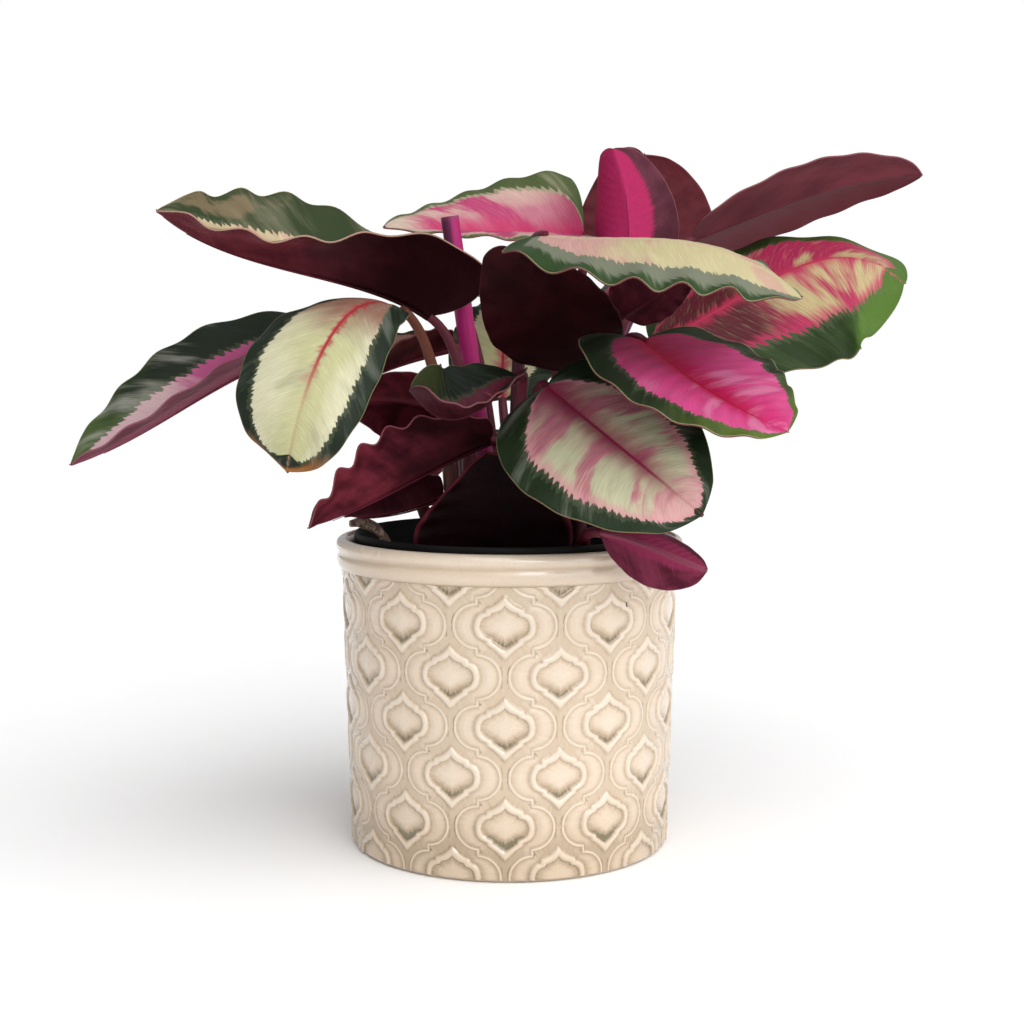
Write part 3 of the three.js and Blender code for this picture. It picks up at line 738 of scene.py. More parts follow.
def close_pot(piece):
    bm = bmesh.new()
    bm.from_mesh(piece.data)
    for height, normal in ((COLLAR_CUT, (0, 0, 1)), (FOOT_CUT, (0, 0, -1))):
        every = bm.verts[:] + bm.edges[:] + bm.faces[:]
        level = (0, 0, height * MM)
        bmesh.ops.bisect_plane(bm, geom=every, dist=1e-7, plane_co=level, plane_no=normal, clear_outer=True)
    swept_from_rim(bm, rim_at(bm, COLLAR_CUT), COLLAR_PROFILE, FLOOR, True)
    swept_from_rim(bm, rim_at(bm, FOOT_CUT), FOOT_PROFILE, 0, False)
    bmesh.ops.recalc_face_normals(bm, faces=bm.faces[:])
    open_edges = sum(1 for edge in bm.edges if not edge.is_manifold)
    bm.to_mesh(piece.data)
    bm.free()
    piece.data.shade_smooth()
    print("cover pot closed, open edges:", open_edges)


close_pot(wall_piece)
hand_over(wall_piece, "glaze", "cover_pot")

# %% [markdown]
# ## The nursery pot
# It is blown from thin black plastic, with a rolled lip that just shows inside the rim. A profile of radius
# and height is turned round the axis, and the drain holes are cut by a Boolean, as a punch would.

# %% Turning a profile
ROUND_STEPS = 96


def turned(name, profile, steps=ROUND_STEPS):
    """A closed turned object from (radius, height) pairs in mm that start and end on the axis."""
    (_, first), *inner, (_, last) = profile
    angles = [2 * math.pi * k / steps for k in range(steps)]
    points = [round_place(radius, angle, height) for radius, height in inner for angle in angles]
    centre = len(points)
    points += [(0, 0, first * MM), (0, 0, last * MM)]
    faces = ring_squares(len(inner), steps)
    faces += [(b, a, centre) for a, b in ring_edges(0, steps)]
    faces += [(a, b, centre + 1) for a, b in ring_edges(len(inner) - 1, steps)]
    return placed(name, new_mesh(name, points, faces))


# %% The nursery pot with its drain holes
NURSERY_PROFILE = [
    (0, 6.3), (49.2, 6.3), (50, 7.0), (60.8, 122), (62.2, 122.6), (63, 123.6), (63, 126.2), (62.6, 126.9),
    (61.9, 127), (61.4, 126.4), (61.3, 124), (59.7, 122), (48.9, 7.6), (48, 7.5), (0, 7.5),
]
DRAIN_HOLES = 6
DRAIN_HOLE_RADIUS = 5
DRAIN_RING_RADIUS = 32
PUNCH_PROFILE = [(0, 4), (DRAIN_HOLE_RADIUS, 4), (DRAIN_HOLE_RADIUS, 9), (0, 9)]
PUNCH_STEPS = 24
EDGE_ANGLE = math.radians(40)

nursery = turned("nursery_pot_shell", NURSERY_PROFILE)
punches = [turned(f"punch_{k}", PUNCH_PROFILE, PUNCH_STEPS) for k in range(DRAIN_HOLES)]
for k, punch in enumerate(punches):
    shift = round_place(DRAIN_RING_RADIUS, 2 * math.pi * k / DRAIN_HOLES, 0)
    punch.data.transform(Matrix.Translation(shift))
    cut = nursery.modifiers.new("drain", "BOOLEAN")
    cut.operation = "DIFFERENCE"
    cut.object = punch
mesh = plain_mesh(nursery)
nursery.modifiers.clear()
nursery.data = mesh
for punch in punches:
    bpy.data.objects.remove(punch)
nursery.data.shade_smooth()
nursery.data.set_sharp_from_angle(angle=EDGE_ANGLE)
print("nursery pot:", DRAIN_HOLES, "drain holes")


# %% Black plastic
def nursery_plastic(maker):
    place = object_place(maker)
    scuffs = noise(maker, place * (60.0, 60.0, 400.0), 1.0, 3.0)
    dust = noise(maker, place, 90.0, 3.0)
    colour = blend(maker, tint(16, 15, 15), (tint(44, 38, 34), ease(dust, 0.55, 0.8) * 0.4))
    return {"Base Color": colour, "Roughness": 0.5 + 0.2 * scuffs, "Height": dust}


nursery.data.materials.clear()
nursery.data.materials.append(finish("black_plastic", nursery_plastic, shine=0.15, bump=0.0001))
hand_over(nursery, "nursery_plastic", "nursery_pot")

# %% [markdown]
# ## The soil
# Potting soil is peat with bark crumbs. A gently uneven ground fills the pot. Geometry Nodes then scatter
# crumbs and chips over it: random points on the faces, a small lumpy shape on each, turned and sized at
# random with a fixed seed.

# %% The ground
SOIL_TOP = 104
SOIL_BOTTOM = 7.8
SOIL_RADIUS_TOP = 57.7
SOIL_RADIUS_BASE = 48.5
GROUND_RINGS = 14
GROUND_STEPS = 64

ground_rings = [(SOIL_RADIUS_TOP * k / GROUND_RINGS, SOIL_TOP) for k in range(GROUND_RINGS, -1, -1)]
ground = turned("ground", [(0, SOIL_BOTTOM), (SOIL_RADIUS_BASE, SOIL_BOTTOM), *ground_rings], GROUND_STEPS)
print("ground:", len(ground.data.polygons), "faces")

# %% Crumbs and chips
CRUMB_FLATNESS = 0.7
CHIP_FLATNESS = 0.35
SIZE_RANGE = (0.45, 1.3)
FULL_TURN = 6.3

soil_sizes = {
    "Soil top": SOIL_TOP * MM, "Unevenness": 3.0 * MM, "Crumbs": 60000.0, "Crumb": 1.5 * MM,
    "Chips": 9000.0, "Chip": 3.4 * MM, "Seed": 7, "Soil": None,
}


def scattered(maker, surface, top, density, size, seed, flatness):
    """Lumps on random points of the surface's top, each turned and sized at random."""
    points = maker.shape("DistributePointsOnFaces", Mesh=surface, Selection=top, Density=density, Seed=seed)
    sockets = {0: (0, 0, 0), 1: (FULL_TURN,) * 3, 8: seed}
    turn = maker.node("FunctionNodeRandomValue", {"data_type": "FLOAT_VECTOR"}, sockets)
    sockets = {2: SIZE_RANGE[0], 3: SIZE_RANGE[1], 8: seed}
    grown = maker.node("FunctionNodeRandomValue", {"data_type": "FLOAT"}, sockets, output=1) * size
    scale = vector(maker, grown, grown * 0.8, grown * flatness)
    lump = maker.shape("MeshIcoSphere", Radius=1.0, Subdivisions=1)
    laid = maker.shape("InstanceOnPoints", Points=points, Instance=lump, Rotation=turn, Scale=scale)
    return maker.shape("RealizeInstances", Geometry=laid)


def soil_tree():
    maker, size = new_tree("potting_soil", soil_sizes)
    place = maker.shape("InputPosition")
    height = split(place)[2]
    lumps = noise(maker, place, 60.0, 4.0) - 0.5
    lift = vector(maker, 0.0, 0.0, lumps * size["Unevenness"] * 2)
    top = height > size["Soil top"] - 0.1 * MM
    uneven = maker.shape("SetPosition", Geometry=size["Geometry"], Selection=top, Offset=lift)
    upper = height > size["Soil top"] - 2 * size["Unevenness"]
    crumbs = scattered(maker, uneven, upper, size["Crumbs"], size["Crumb"], size["Seed"], CRUMB_FLATNESS)
    chips = scattered(maker, uneven, upper, size["Chips"], size["Chip"], size["Seed"] + 1, CHIP_FLATNESS)
    joined = maker.shape("JoinGeometry", Geometry=[chips, crumbs, uneven])
    return end_tree(maker, joined, (size["Soil"], None))


def potting_soil(maker):
    place = object_place(maker)
    grains = noise(maker, place, 420.0, 4.0)
    patches = noise(maker, place, 110.0)
    colour = blend(maker, tint(24, 18, 14), (tint(66, 48, 34), ease(grains, 0.35, 0.75)),
                   (tint(98, 70, 48), ease(patches, 0.6, 0.75) * 0.5))
    return {"Base Color": colour, "Height": grains}


soil_sizes["Soil"] = finish("potting_soil", potting_soil, roughness=0.95, shine=0.1, bump=0.0006)
soil_piece = made_by(soil_tree(), "soil_with_crumbs", ground.data, soil_sizes)
bpy.data.objects.remove(ground)
hand_over(soil_piece, "soil", "soil")

# %% [markdown]
# ## How a leaf grows
# All leaves follow one rule, the same as in the CAD model. A midrib runs through four points. At each place
# on it stands a small frame: towards the tip, up from the face, and to the right. Each half of the blade
# leaves the midrib at its fold angle and curls towards its margin, its width follows one outline, and the
# margin is ruffled. Because it is a rule, Geometry Nodes make the blade from a flat grid: across runs from
# -1 to 1 and along from 0 at the stalk to 1 at the tip.

# %% The midrib's curve and frame
def rib_sum(size, weights):
    """The midrib's four points, weighted and added."""
    first, second, third, fourth = (size[f"Rib {k}"] * weight for k, weight in enumerate(weights))
    return first + second + third + fourth


def rib_point(size, t):
    """The one cubic curve through four points at 0, 1/3, 2/3 and 1."""
    a, b, c = t - 1 / 3, t - 2 / 3, t - 1
    return rib_sum(size, (-4.5 * a * b * c, 13.5 * t * b * c, -13.5 * t * a * c, 4.5 * t * a * b))


def rib_slope(size, t):
    a, b, c = t - 1 / 3, t - 2 / 3, t - 1
    return unit(rib_sum(size, (
        -4.5 * (a * b + b * c + a * c), 13.5 * (b * c + t * c + t * b),
        -13.5 * (a * c + t * c + t * a), 4.5 * (a * b + t * b + t * a),
    )))


def rib_frame(size, t):
    """Directions towards the tip, up from the face and to the right."""
    tip = rib_slope(size, t)
    up = unit(between(unit(size["Face"]), unit(size["Face at tip"]), t))
    up = unit(up - tip * dot(up, tip))
    return tip, up, cross(tip, up)


# %% [markdown]
# ## The blade
# The rule gives the leaf's middle surface. Rounded ends replace the CAD model's straight cut ones. Then the
# blade gets what the coarse CAD blade leaves out: a groove along the midrib and the quilting between the
# side veins, which is what breaks the light into stripes. Lobes reach back beside the stalk and shoulders
# forward beside the tip. A bend of exactly nothing would divide by zero, so a trace is added to every bend.

# %% Half width and bending of the blade
OUTLINE_START = 0.03
OUTLINE_LENGTH = 0.955
NEVER_STRAIGHT = 0.0007
RIGHT_WAVE_SHIFT = 0.35
END_ROUND = 0.07
LOBE_END = 0.4
SHOULDER_RISE = 2.5
VEIN_COUNT = 13.0
VEIN_SWEEP = 0.2
MIDRIB_GROOVE = 0.5
GROOVE_HALF_WIDTH = 1.1


def rounded_end(distance):
    """0 at the end of the leaf, 1 from a short way in on, and round between."""
    share = 1 - least(distance / END_ROUND, 1.0)
    return root(most(1 - share * share, 0.0))


def half_width(size, t, right):
    shifted = t * OUTLINE_LENGTH + OUTLINE_START
    outline = sine(math.pi * shifted ** size["Swell"]) ** size["Fullness"]
    ends = rounded_end(t) * rounded_end(1 - t)
    return 0.5 * size["Width"] * outline * between(size["Wide left"], size["Wide right"], right) * ends, ends


def blade_surface(maker, size, u, t):
    """The leaf's middle surface: across, along and up, with ruffles, lobes and shoulders."""
    share = abs(u)
    right = u > 0
    parts = vector(maker, (1 - t) * (1 - 2 * t), 4 * t * (1 - t), t * (2 * t - 1))

    def of_side(name):
        return between(size[f"{name} left"], size[f"{name} right"], right)

    def of_place(name):
        return between(dot(size[f"{name} left"], parts), dot(size[f"{name} right"], parts), right)

    tip, up, rightwards = rib_frame(size, t)
    width, ends = half_width(size, t, right)
    at_rib = of_place("Fold")
    bend = of_place("Curl") - at_rib + NEVER_STRAIGHT
    end = at_rib + bend * share
    across = width * (sine(end) - sine(at_rib)) / bend
    raised = width * (cosine(at_rib) - cosine(end)) / bend
    wave = sine(2 * math.pi * (size["Waves"] * t + size["Phase"] + RIGHT_WAVE_SHIFT * right))
    ruffle = dot(size["Ruffle"], parts) * share ** 3 * wave * least(4 * width / size["Width"], 1.0)
    back = of_side("Lobe") * size["Width"] * ends * share ** 1.5 * most(1 - t / LOBE_END, 0.0) ** 1.6
    late = most(t * SHOULDER_RISE - (SHOULDER_RISE - 1), 0.0)
    forward = of_side("Shoulder") * size["Width"] * ends * share ** 1.5 * late
    place = rib_point(size, t) + tip * (forward - back)
    return place + rightwards * ((2 * right - 1) * across) + up * (raised + ruffle), width


def blade_relief(size, u, t, width):
    """How far the face stands up: quilts between the side veins and a groove along the midrib."""
    share = abs(u)
    vein = (t - VEIN_SWEEP * share ** 1.3) * VEIN_COUNT + 0.5 * (u > 0)
    quilt = abs(sine(math.pi * vein)) ** 0.7 - 0.6
    fade = least(share * 5, 1.0) * (1 - share ** 4) * least((1 - t) * 5, 1.0) * least(t * 8, 1.0)
    groove = 1 / (1 + (share * width / (GROOVE_HALF_WIDTH * MM)) ** 2)
    return size["Quilt"] * fade * quilt - MIDRIB_GROOVE * MM * groove * least((1 - t) * 4, 1.0)


# %% [markdown]
# The blade starts as a flat grid. Its own coordinates are kept as a UV map for the paint, and its half width
# so that thin lines can be painted in millimetres. The grid is bent, lifted by half the leaf's thickness,
# and a copy is pulled down for the underside.

# %% The blade's part of the tree
BLADE_THICKNESS = 0.6
BLADE_WELD = 0.005 * MM

leaf_sizes = {
    **{f"Rib {k}": (0.0, 0.0, 0.0) for k in range(4)},
    "Face": (0.0, 0.0, 1.0), "Face at tip": (0.0, 0.0, 1.0), "Root": (0.0, 0.0, 0.0), "Lean": (0.0, 0.0, 1.0),
    "Rise": 0.45, "Neck": 0.22, "Width": 0.06, "Swell": 0.8, "Fullness": 0.6, "Waves": 5.5, "Phase": 0.0,
    "Ruffle": (0.0, 0.0, 0.0), "Midrib": 0.0014, "Quilt": 0.0003, "Rows": 100, "Columns": 45,
    "Upper side": None, "Underside": None, "Stalk": None,
}
SIDES = ("left", "right")
for side in SIDES:
    leaf_sizes.update({f"Wide {side}": 1.0, f"Lobe {side}": 0.0, f"Shoulder {side}": 0.0,
                       f"Fold {side}": (0.0, 0.0, 0.0), f"Curl {side}": (0.0, 0.0, 0.0)})


def store(maker, geometry, name, value, data_type="FLOAT", domain="POINT"):
    settings = {"data_type": data_type, "domain": domain}
    return maker.shape("StoreNamedAttribute", settings, Geometry=geometry, Name=name, Value=value)


def stored(maker, name):
    """A number that was stored earlier in the same tree."""
    return maker.shape("InputNamedAttribute", {"data_type": "FLOAT"}, Name=name)


def marked(maker, geometry, name):
    """Marks every face, so that its finish can be set at the end."""
    return store(maker, geometry, name, True, "BOOLEAN", "FACE")


def store_leaf_place(maker, geometry, u, t):
    """The UV map that the paint is laid out on."""
    return store(maker, geometry, "leaf", vector(maker, 0.5 + 0.5 * u, t, 0.0), "FLOAT2", "CORNER")


def blade_part(maker, size):
    counts = {"Vertices_X": size["Columns"], "Vertices_Y": size["Rows"]}
    grid = maker.shape("MeshGrid", Size_X=2.0, Size_Y=1.0, **counts)
    u, y, _ = split(maker.shape("InputPosition"))
    t = 0.5 - 0.5 * cosine(math.pi * (y + 0.5))
    grid = store_leaf_place(maker, grid, u, t)
    place, width = blade_surface(maker, size, u, t)
    grid = store(maker, grid, "span", width / MM)
    grid = store(maker, grid, "raised", blade_relief(size, u, t, width))
    sheet = maker.shape("SetPosition", Geometry=grid, Position=place)
    normal = maker.shape("InputNormal")
    lift = normal * (stored(maker, "raised") + BLADE_THICKNESS / 2 * MM)
    upper = maker.shape("SetPosition", Geometry=sheet, Offset=lift)
    pulled = maker.shape("ExtrudeMesh", {"mode": "FACES"}, Mesh=upper, Offset=normal,
                         Offset_Scale=-BLADE_THICKNESS * MM, Individual=False)
    under = marked(maker, maker.shape("FlipFaces", Mesh=pulled), "underside")
    both = maker.shape("JoinGeometry", Geometry=[under, upper])
    return maker.shape("MergeByDistance", Geometry=both, Distance=BLADE_WELD)


# %% [markdown]
# ## Stalk and midrib
# The stalk comes straight out of the soil, bends over to the blade and swells a little just below it, at the
# joint with which a prayer plant turns its leaves. It goes on under the blade as the raised midrib. Both
# are curves that Geometry Nodes give a thickness, the same tree as the blade's, so a leaf is one piece.

# %% Stalk, midrib and the whole tree
STALK_ROOT_RADIUS = 2.9
STALK_NECK_RADIUS = 1.8
STALK_JOINT = 0.5
STALK_DEPTH = 8 * MM
STALK_STEPS = 28
STALK_SIDES = 14
MIDRIB_TIP_RADIUS = 0.12 * MM
MIDRIB_SINK = 0.35 * MM
MIDRIB_END = 0.88
MIDRIB_STEPS = 36
FAR_FROM_RIM = 30.0


def tube(maker, curve, radius, sides=STALK_SIDES):
    """A curve given a round thickness, with closed ends."""
    ring = maker.shape("CurvePrimitiveCircle", Resolution=sides, Radius=1.0)
    return maker.shape("CurveToMesh", Curve=curve, Profile_Curve=ring, Scale=radius, Fill_Caps=True)


def smoothed(maker, geometry):
    return maker.shape("SetShadeSmooth", Geometry=geometry, Shade_Smooth=True)


def stalk_part(maker, size):
    start, end = size["Root"], size["Rib 0"]
    reach = length(end - start)
    curve = maker.shape(
        "CurvePrimitiveBezierSegment", {"mode": "POSITION"}, Resolution=STALK_STEPS,
        Start=start - vector(maker, 0.0, 0.0, STALK_DEPTH), End=end,
        Start_Handle=start + unit(size["Lean"]) * (reach * size["Rise"]),
        End_Handle=end - rib_slope(size, 0.0) * (reach * size["Neck"]),
    )
    climb = maker.shape("SplineParameter")
    joint = ease(climb, 0.86, 0.93) * ease(climb, 1.0, 0.96)
    radius = (between(STALK_ROOT_RADIUS, STALK_NECK_RADIUS, climb) + STALK_JOINT * joint) * MM
    return marked(maker, tube(maker, store(maker, curve, "climb", climb), radius), "stalk")


def midrib_part(maker, size):
    line = maker.shape("CurvePrimitiveLine", Start=(0, 0, 0), End=(0, 1, 0))
    line = maker.shape("ResampleCurve", Curve=line, Count=MIDRIB_STEPS)
    t = split(maker.shape("InputPosition"))[1] * MIDRIB_END
    line = store(maker, line, "on_rib", t)
    line = store(maker, line, "span", FAR_FROM_RIM)
    _, up, _ = rib_frame(size, t)
    radius = between(size["Midrib"], MIDRIB_TIP_RADIUS, t / MIDRIB_END)
    place = rib_point(size, t) - up * (radius + MIDRIB_SINK)
    curve = maker.shape("SetPosition", Geometry=line, Position=place)
    climb = maker.shape("SplineParameter")
    rib = tube(maker, curve, between(size["Midrib"], MIDRIB_TIP_RADIUS, climb))
    return marked(maker, store_leaf_place(maker, rib, 0.0, stored(maker, "on_rib")), "underside")


def leaf_tree():
    maker, size = new_tree("prayer_plant_leaf", leaf_sizes)
    parts = [stalk_part(maker, size), midrib_part(maker, size), blade_part(maker, size)]
    whole = smoothed(maker, maker.shape("JoinGeometry", Geometry=parts))
    finishes = (size["Upper side"], None), (size["Underside"], "underside"), (size["Stalk"], "stalk")
    return end_tree(maker, whole, *finishes)


grown_leaf = leaf_tree()
print("leaf tree:", len(grown_leaf.nodes), "nodes")

# %% [markdown]
# ## The painted face
# Silvia calatheas carry a pale or pink field round a crimson midrib, and a dark green margin. The paint is
# worked out from the leaf's own coordinates: each point is traced back along its side vein to where that
# vein leaves the midrib, so everything that follows the veins is a function of that one number. The field
# ends in small teeth, fine streaks run along the veins, and a grey-green seam lies between field and margin.

# %% Where a point lies on the leaf
# Each noise along the veins: steps along and across, shift, detail and roughness
STREAKS = {
    "broad": (0.55, 0.9, 0, 2.0, 0.5), "brushed": (2.1, 1.8, 5, 3.0, 0.6), "fine": (11.0, 4.0, 9, 2.0, 0.6),
}


class Spot:
    """What the paint of a side needs to know about a point."""

    def __init__(self, maker, seed):
        x, self.t, _ = split(maker.node("ShaderNodeUVMap", {"uv_map": "leaf"}))
        side = x * 2 - 1
        self.share = abs(side)
        self.right = side > 0
        width = mark(maker, "span")
        self.from_rib = self.share * width
        self.from_rim = (1 - self.share) * width
        self.origin = self.t - VEIN_SWEEP * self.share ** 1.3
        self.vein = self.origin * VEIN_COUNT + 0.5 * self.right
        start = seed + 3 * self.right
        for name, (along, across, shift, detail, rough) in STREAKS.items():
            place = vector(maker, self.vein * along, self.share * across, start + shift)
            setattr(self, name, noise(maker, place, 1.0, detail, rough))
        self.cloud = noise(maker, vector(maker, self.t * 3.4, side * 1.8, seed + 13), 1.0, 3.0)
        self.grain = noise(maker, object_place(maker), 900.0)

    def swayed(self, wire, **amounts):
        """A wire that the named noises push up and down by these amounts."""
        for name, amount in amounts.items():
            wire = wire + amount * (getattr(self, name) - 0.5)
        return wire

    def inside(self, reach, middle, half, tooth):
        """How far it lies inside a field that reaches so far towards each margin, in half widths."""
        ring = (self.origin - middle) / half
        zigzag = abs(2 * fraction(self.vein * 2.6 + 3 * self.brushed) - 1)
        edge = between(*reach, self.right) * root(most(1 - ring ** 4, 0.0))
        edge = edge + tooth * (zigzag - 0.5) * (0.4 + 1.4 * self.broad)
        return self.swayed(edge, broad=0.16, brushed=0.1) - self.share


# %% Paint of the upper side
PLAIN_FACE = {
    "far": (216, 212, 168), "near": (214, 130, 150), "near_reach": 0.45,
    "band": (204, 96, 132), "bands": 0.35, "border": None,
    "base": None, "base_end": 0.25, "tip": None, "tip_start": 0.75,
    "rib": (186, 40, 74), "rib_end": 0.92, "blush": 5.0,
    "reach": (0.7, 0.7), "middle": 0.46, "half": 0.5, "tooth": 0.07,
    "seam": (104, 112, 84), "seam_width": 0.06, "seams": 0.3,
    "margin": (36, 50, 30), "margin_tip": None, "streak_and_sheen": (120, 130, 110), "streaks_and_sheen": 0.6,
    "patch": (128, 112, 84), "patches": 0.0, "rim": (160, 160, 112), "scorch": 0.0,
}
SCORCHED = tint(186, 118, 62)


def field_colour(maker, look, spot):
    """The pale field: far and near colours, bands along the veins, and its own base and tip."""
    start = 0.58 - 0.2 * look["bands"]
    bands = ease(spot.swayed(spot.broad, brushed=0.25, fine=0.1), start, start + 0.13)
    layers = [
        (look["near"], ease(spot.swayed(look["near_reach"] - spot.share, cloud=0.9), -0.2, 0.25)),
        (look["band"], bands * min(1.0, 0.4 + look["bands"])),
    ]
    if look["base"]:
        end = look["base_end"]
        layers.append((look["base"], ease(spot.swayed(spot.t, cloud=0.25), end + 0.14, end - 0.1)))
    if look["tip"]:
        start = look["tip_start"]
        layers.append((look["tip"], ease(spot.swayed(spot.t, brushed=0.25), start - 0.08, start + 0.1)))
    layers.append((tuple(0.7 * c for c in look["band"]), ease(spot.fine, 0.35, 0.7) * 0.2))
    layers.append((tuple(min(1.2 * c, 0.9) for c in look["far"]), ease(spot.fine, 0.5, 0.3) * 0.14))
    return blend(maker, look["far"], *layers)


def margin_colour(maker, look, spot):
    """The dark margin, perhaps lime near the tip, with whitish streaks that are partly painted sheen, and
    sometimes tan patches.
    """
    layers = []
    if look["margin_tip"]:
        layers.append((look["margin_tip"], ease(spot.swayed(spot.t, cloud=0.5, brushed=0.2), 0.5, 0.95)))
    # Whitish streaks along the veins: partly the leaf's own grey-green, partly painted sheen where the quilts
    # catch the light.
    shine = ease(spot.swayed(spot.broad, brushed=0.3, fine=0.15), 0.5, 0.75)
    layers.append((look["streak_and_sheen"], shine * look["streaks_and_sheen"]))
    if look["patches"]:
        spots = ease(spot.swayed(spot.cloud, brushed=0.3), 0.52, 0.66)
        layers.append((look["patch"], spots * look["patches"]))
    return blend(maker, look["margin"], *layers)


def painted_face(look):
    def build(maker):
        spot = Spot(maker, look["seed"])
        inside = spot.inside(look["reach"], look["middle"], look["half"], look["tooth"])
        fades = ease(spot.t, look["rib_end"], look["rib_end"] - 0.3)
        field = field_colour(maker, look, spot)
        if look["border"]:
            near_edge = ease(spot.swayed(inside, fine=0.1), 0.16, 0.02)
            field = blend(maker, field, (look["border"], near_edge * 0.8))
        blush = ease(spot.swayed(spot.from_rib, fine=6, brushed=11), look["blush"], 0.0)
        field = blend(maker, field, (look["rib"], blush * 0.75 * fades))
        wide = look["seam_width"]
        seam = ease(spot.swayed(inside, brushed=0.1), -1.2 * wide, -0.7 * wide)
        margin = blend(maker, margin_colour(maker, look, spot), (look["seam"], seam * look["seams"]))
        colour = blend(
            maker, margin, (field, ease(inside, -0.006, 0.018)),
            (look["rib"], ease(spot.from_rib, 0.8, 0.3) * (0.2 + 0.8 * fades)),
            (look["rim"], ease(spot.swayed(spot.from_rim, fine=0.3), 0.4, 0.1) * 0.8),
        )
        if look["scorch"]:
            burnt = ease(spot.swayed(spot.t, cloud=0.12), 1 - look["scorch"], 1.0)
            colour = blend(maker, colour, (SCORCHED, burnt * ease(spot.from_rim, 7.0, 3.0)))
        relief = 0.7 * spot.fine + 0.3 * spot.brushed + 0.25 * spot.grain
        return {"Base Color": colour, "Roughness": 0.42 + 0.16 * spot.brushed, "Height": relief}
    return build


# %% [markdown]
# ## The underside
# Underneath, every leaf is maroon, smooth and dusky, with a faint mottling, and some are painted darker
# towards the stalk as shade.
# Where light falls through, or where the leaf is young and rolled, a hot pink flush shows. The midrib and
# the margin are a little paler.

# %% Paint of the underside
PLAIN_UNDER = {
    "skin": (108, 40, 54), "shade": (78, 26, 38), "vein": (128, 56, 70), "veins": 0.35,
    "rim": (140, 88, 84), "rim_width": 0.3, "flush": None, "flush_reach": (0.5, 0.5), "flush_half": 0.6,
    "painted_shade": 0.0,
}
PAINTED_SHADE = tint(26, 6, 10)


def maroon_underside(look):
    def build(maker):
        spot = Spot(maker, look["seed"])
        cloudy = spot.swayed(spot.cloud, broad=0.5, brushed=0.25)
        layers = [(look["skin"], ease(cloudy, 0.3, 0.68))]
        if look["flush"]:
            inside = spot.inside(look["flush_reach"], 0.45, look["flush_half"], 0.05)
            layers.append((look["flush"], ease(inside, -0.06, 0.1)))
        layers += [
            (look["shade"], ease(spot.grain, 0.5, 0.75) * 0.2),
            (look["vein"], ease(spot.fine, 0.55, 0.75) * 0.3 * look["veins"]),
            (look["vein"], ease(spot.from_rib, 1.5, 0.5) * look["veins"]),
        ]
        # Painted shade: darker towards the stalk, where the leaves above shade the underside.
        if look["painted_shade"]:
            layers.append((PAINTED_SHADE, ease(spot.swayed(spot.t, cloud=0.2), 0.7, 0.15) * look["painted_shade"]))
        wide = look["rim_width"]
        layers.append((look["rim"], ease(spot.swayed(spot.from_rim, cloud=2 * wide), wide, 0.1) * 0.8))
        relief = 0.5 * spot.fine + 0.4 * spot.brushed + 0.4 * spot.grain
        colour = blend(maker, look["shade"], *layers)
        return {"Base Color": colour, "Roughness": 0.5 + 0.12 * spot.brushed, "Height": relief}
    return build


# %% [markdown]
# ## The stalks
# Stalks are fleshy and lightly ribbed lengthwise, magenta, purple or brown, with short pale hairs that only
# soften the shine. They are greener near the soil.

# %% Paint of the stalks
STALK_COLOURS = {
    "magenta": ((176, 44, 110), (128, 30, 78)),
    "purple": ((104, 40, 84), (74, 30, 54)),
    "brown": ((118, 66, 50), (84, 40, 36)),
    "maroon": ((104, 34, 52), (70, 26, 36)),
    "dark": ((64, 24, 36), (48, 18, 26)),
}
STALK_GREEN = tint(88, 84, 44)


def fleshy_stalk(upper, lower):
    def build(maker):
        climb = mark(maker, "climb")
        ribs = noise(maker, object_place(maker) * (900.0, 900.0, 60.0), 1.0)
        colour = blend(maker, tint(*lower), (tint(*upper), ease(climb + 0.3 * (ribs - 0.5), 0.1, 0.7)),
                       (STALK_GREEN, ease(climb, 0.18, 0.0) * 0.6))
        return {"Base Color": colour, "Roughness": 0.4 + 0.15 * ribs, "Height": ribs}
    return build


stalk_finish = {name: finish(f"stalk_{name}", fleshy_stalk(*colours), shine=0.25)
                for name, colours in STALK_COLOURS.items()}
print("stalk colours:", ", ".join(stalk_finish))

# %% [markdown]
# ## Every leaf's shape
# These are nearly all the CAD model's own values: the midrib's four points in millimetres, where the face
# looks, the width, and how each half folds and curls, in degrees, at the base, the middle and the tip. Only
# a few folds, ruffles and rounded shoulders are a little finer than the coarse CAD blades have them.

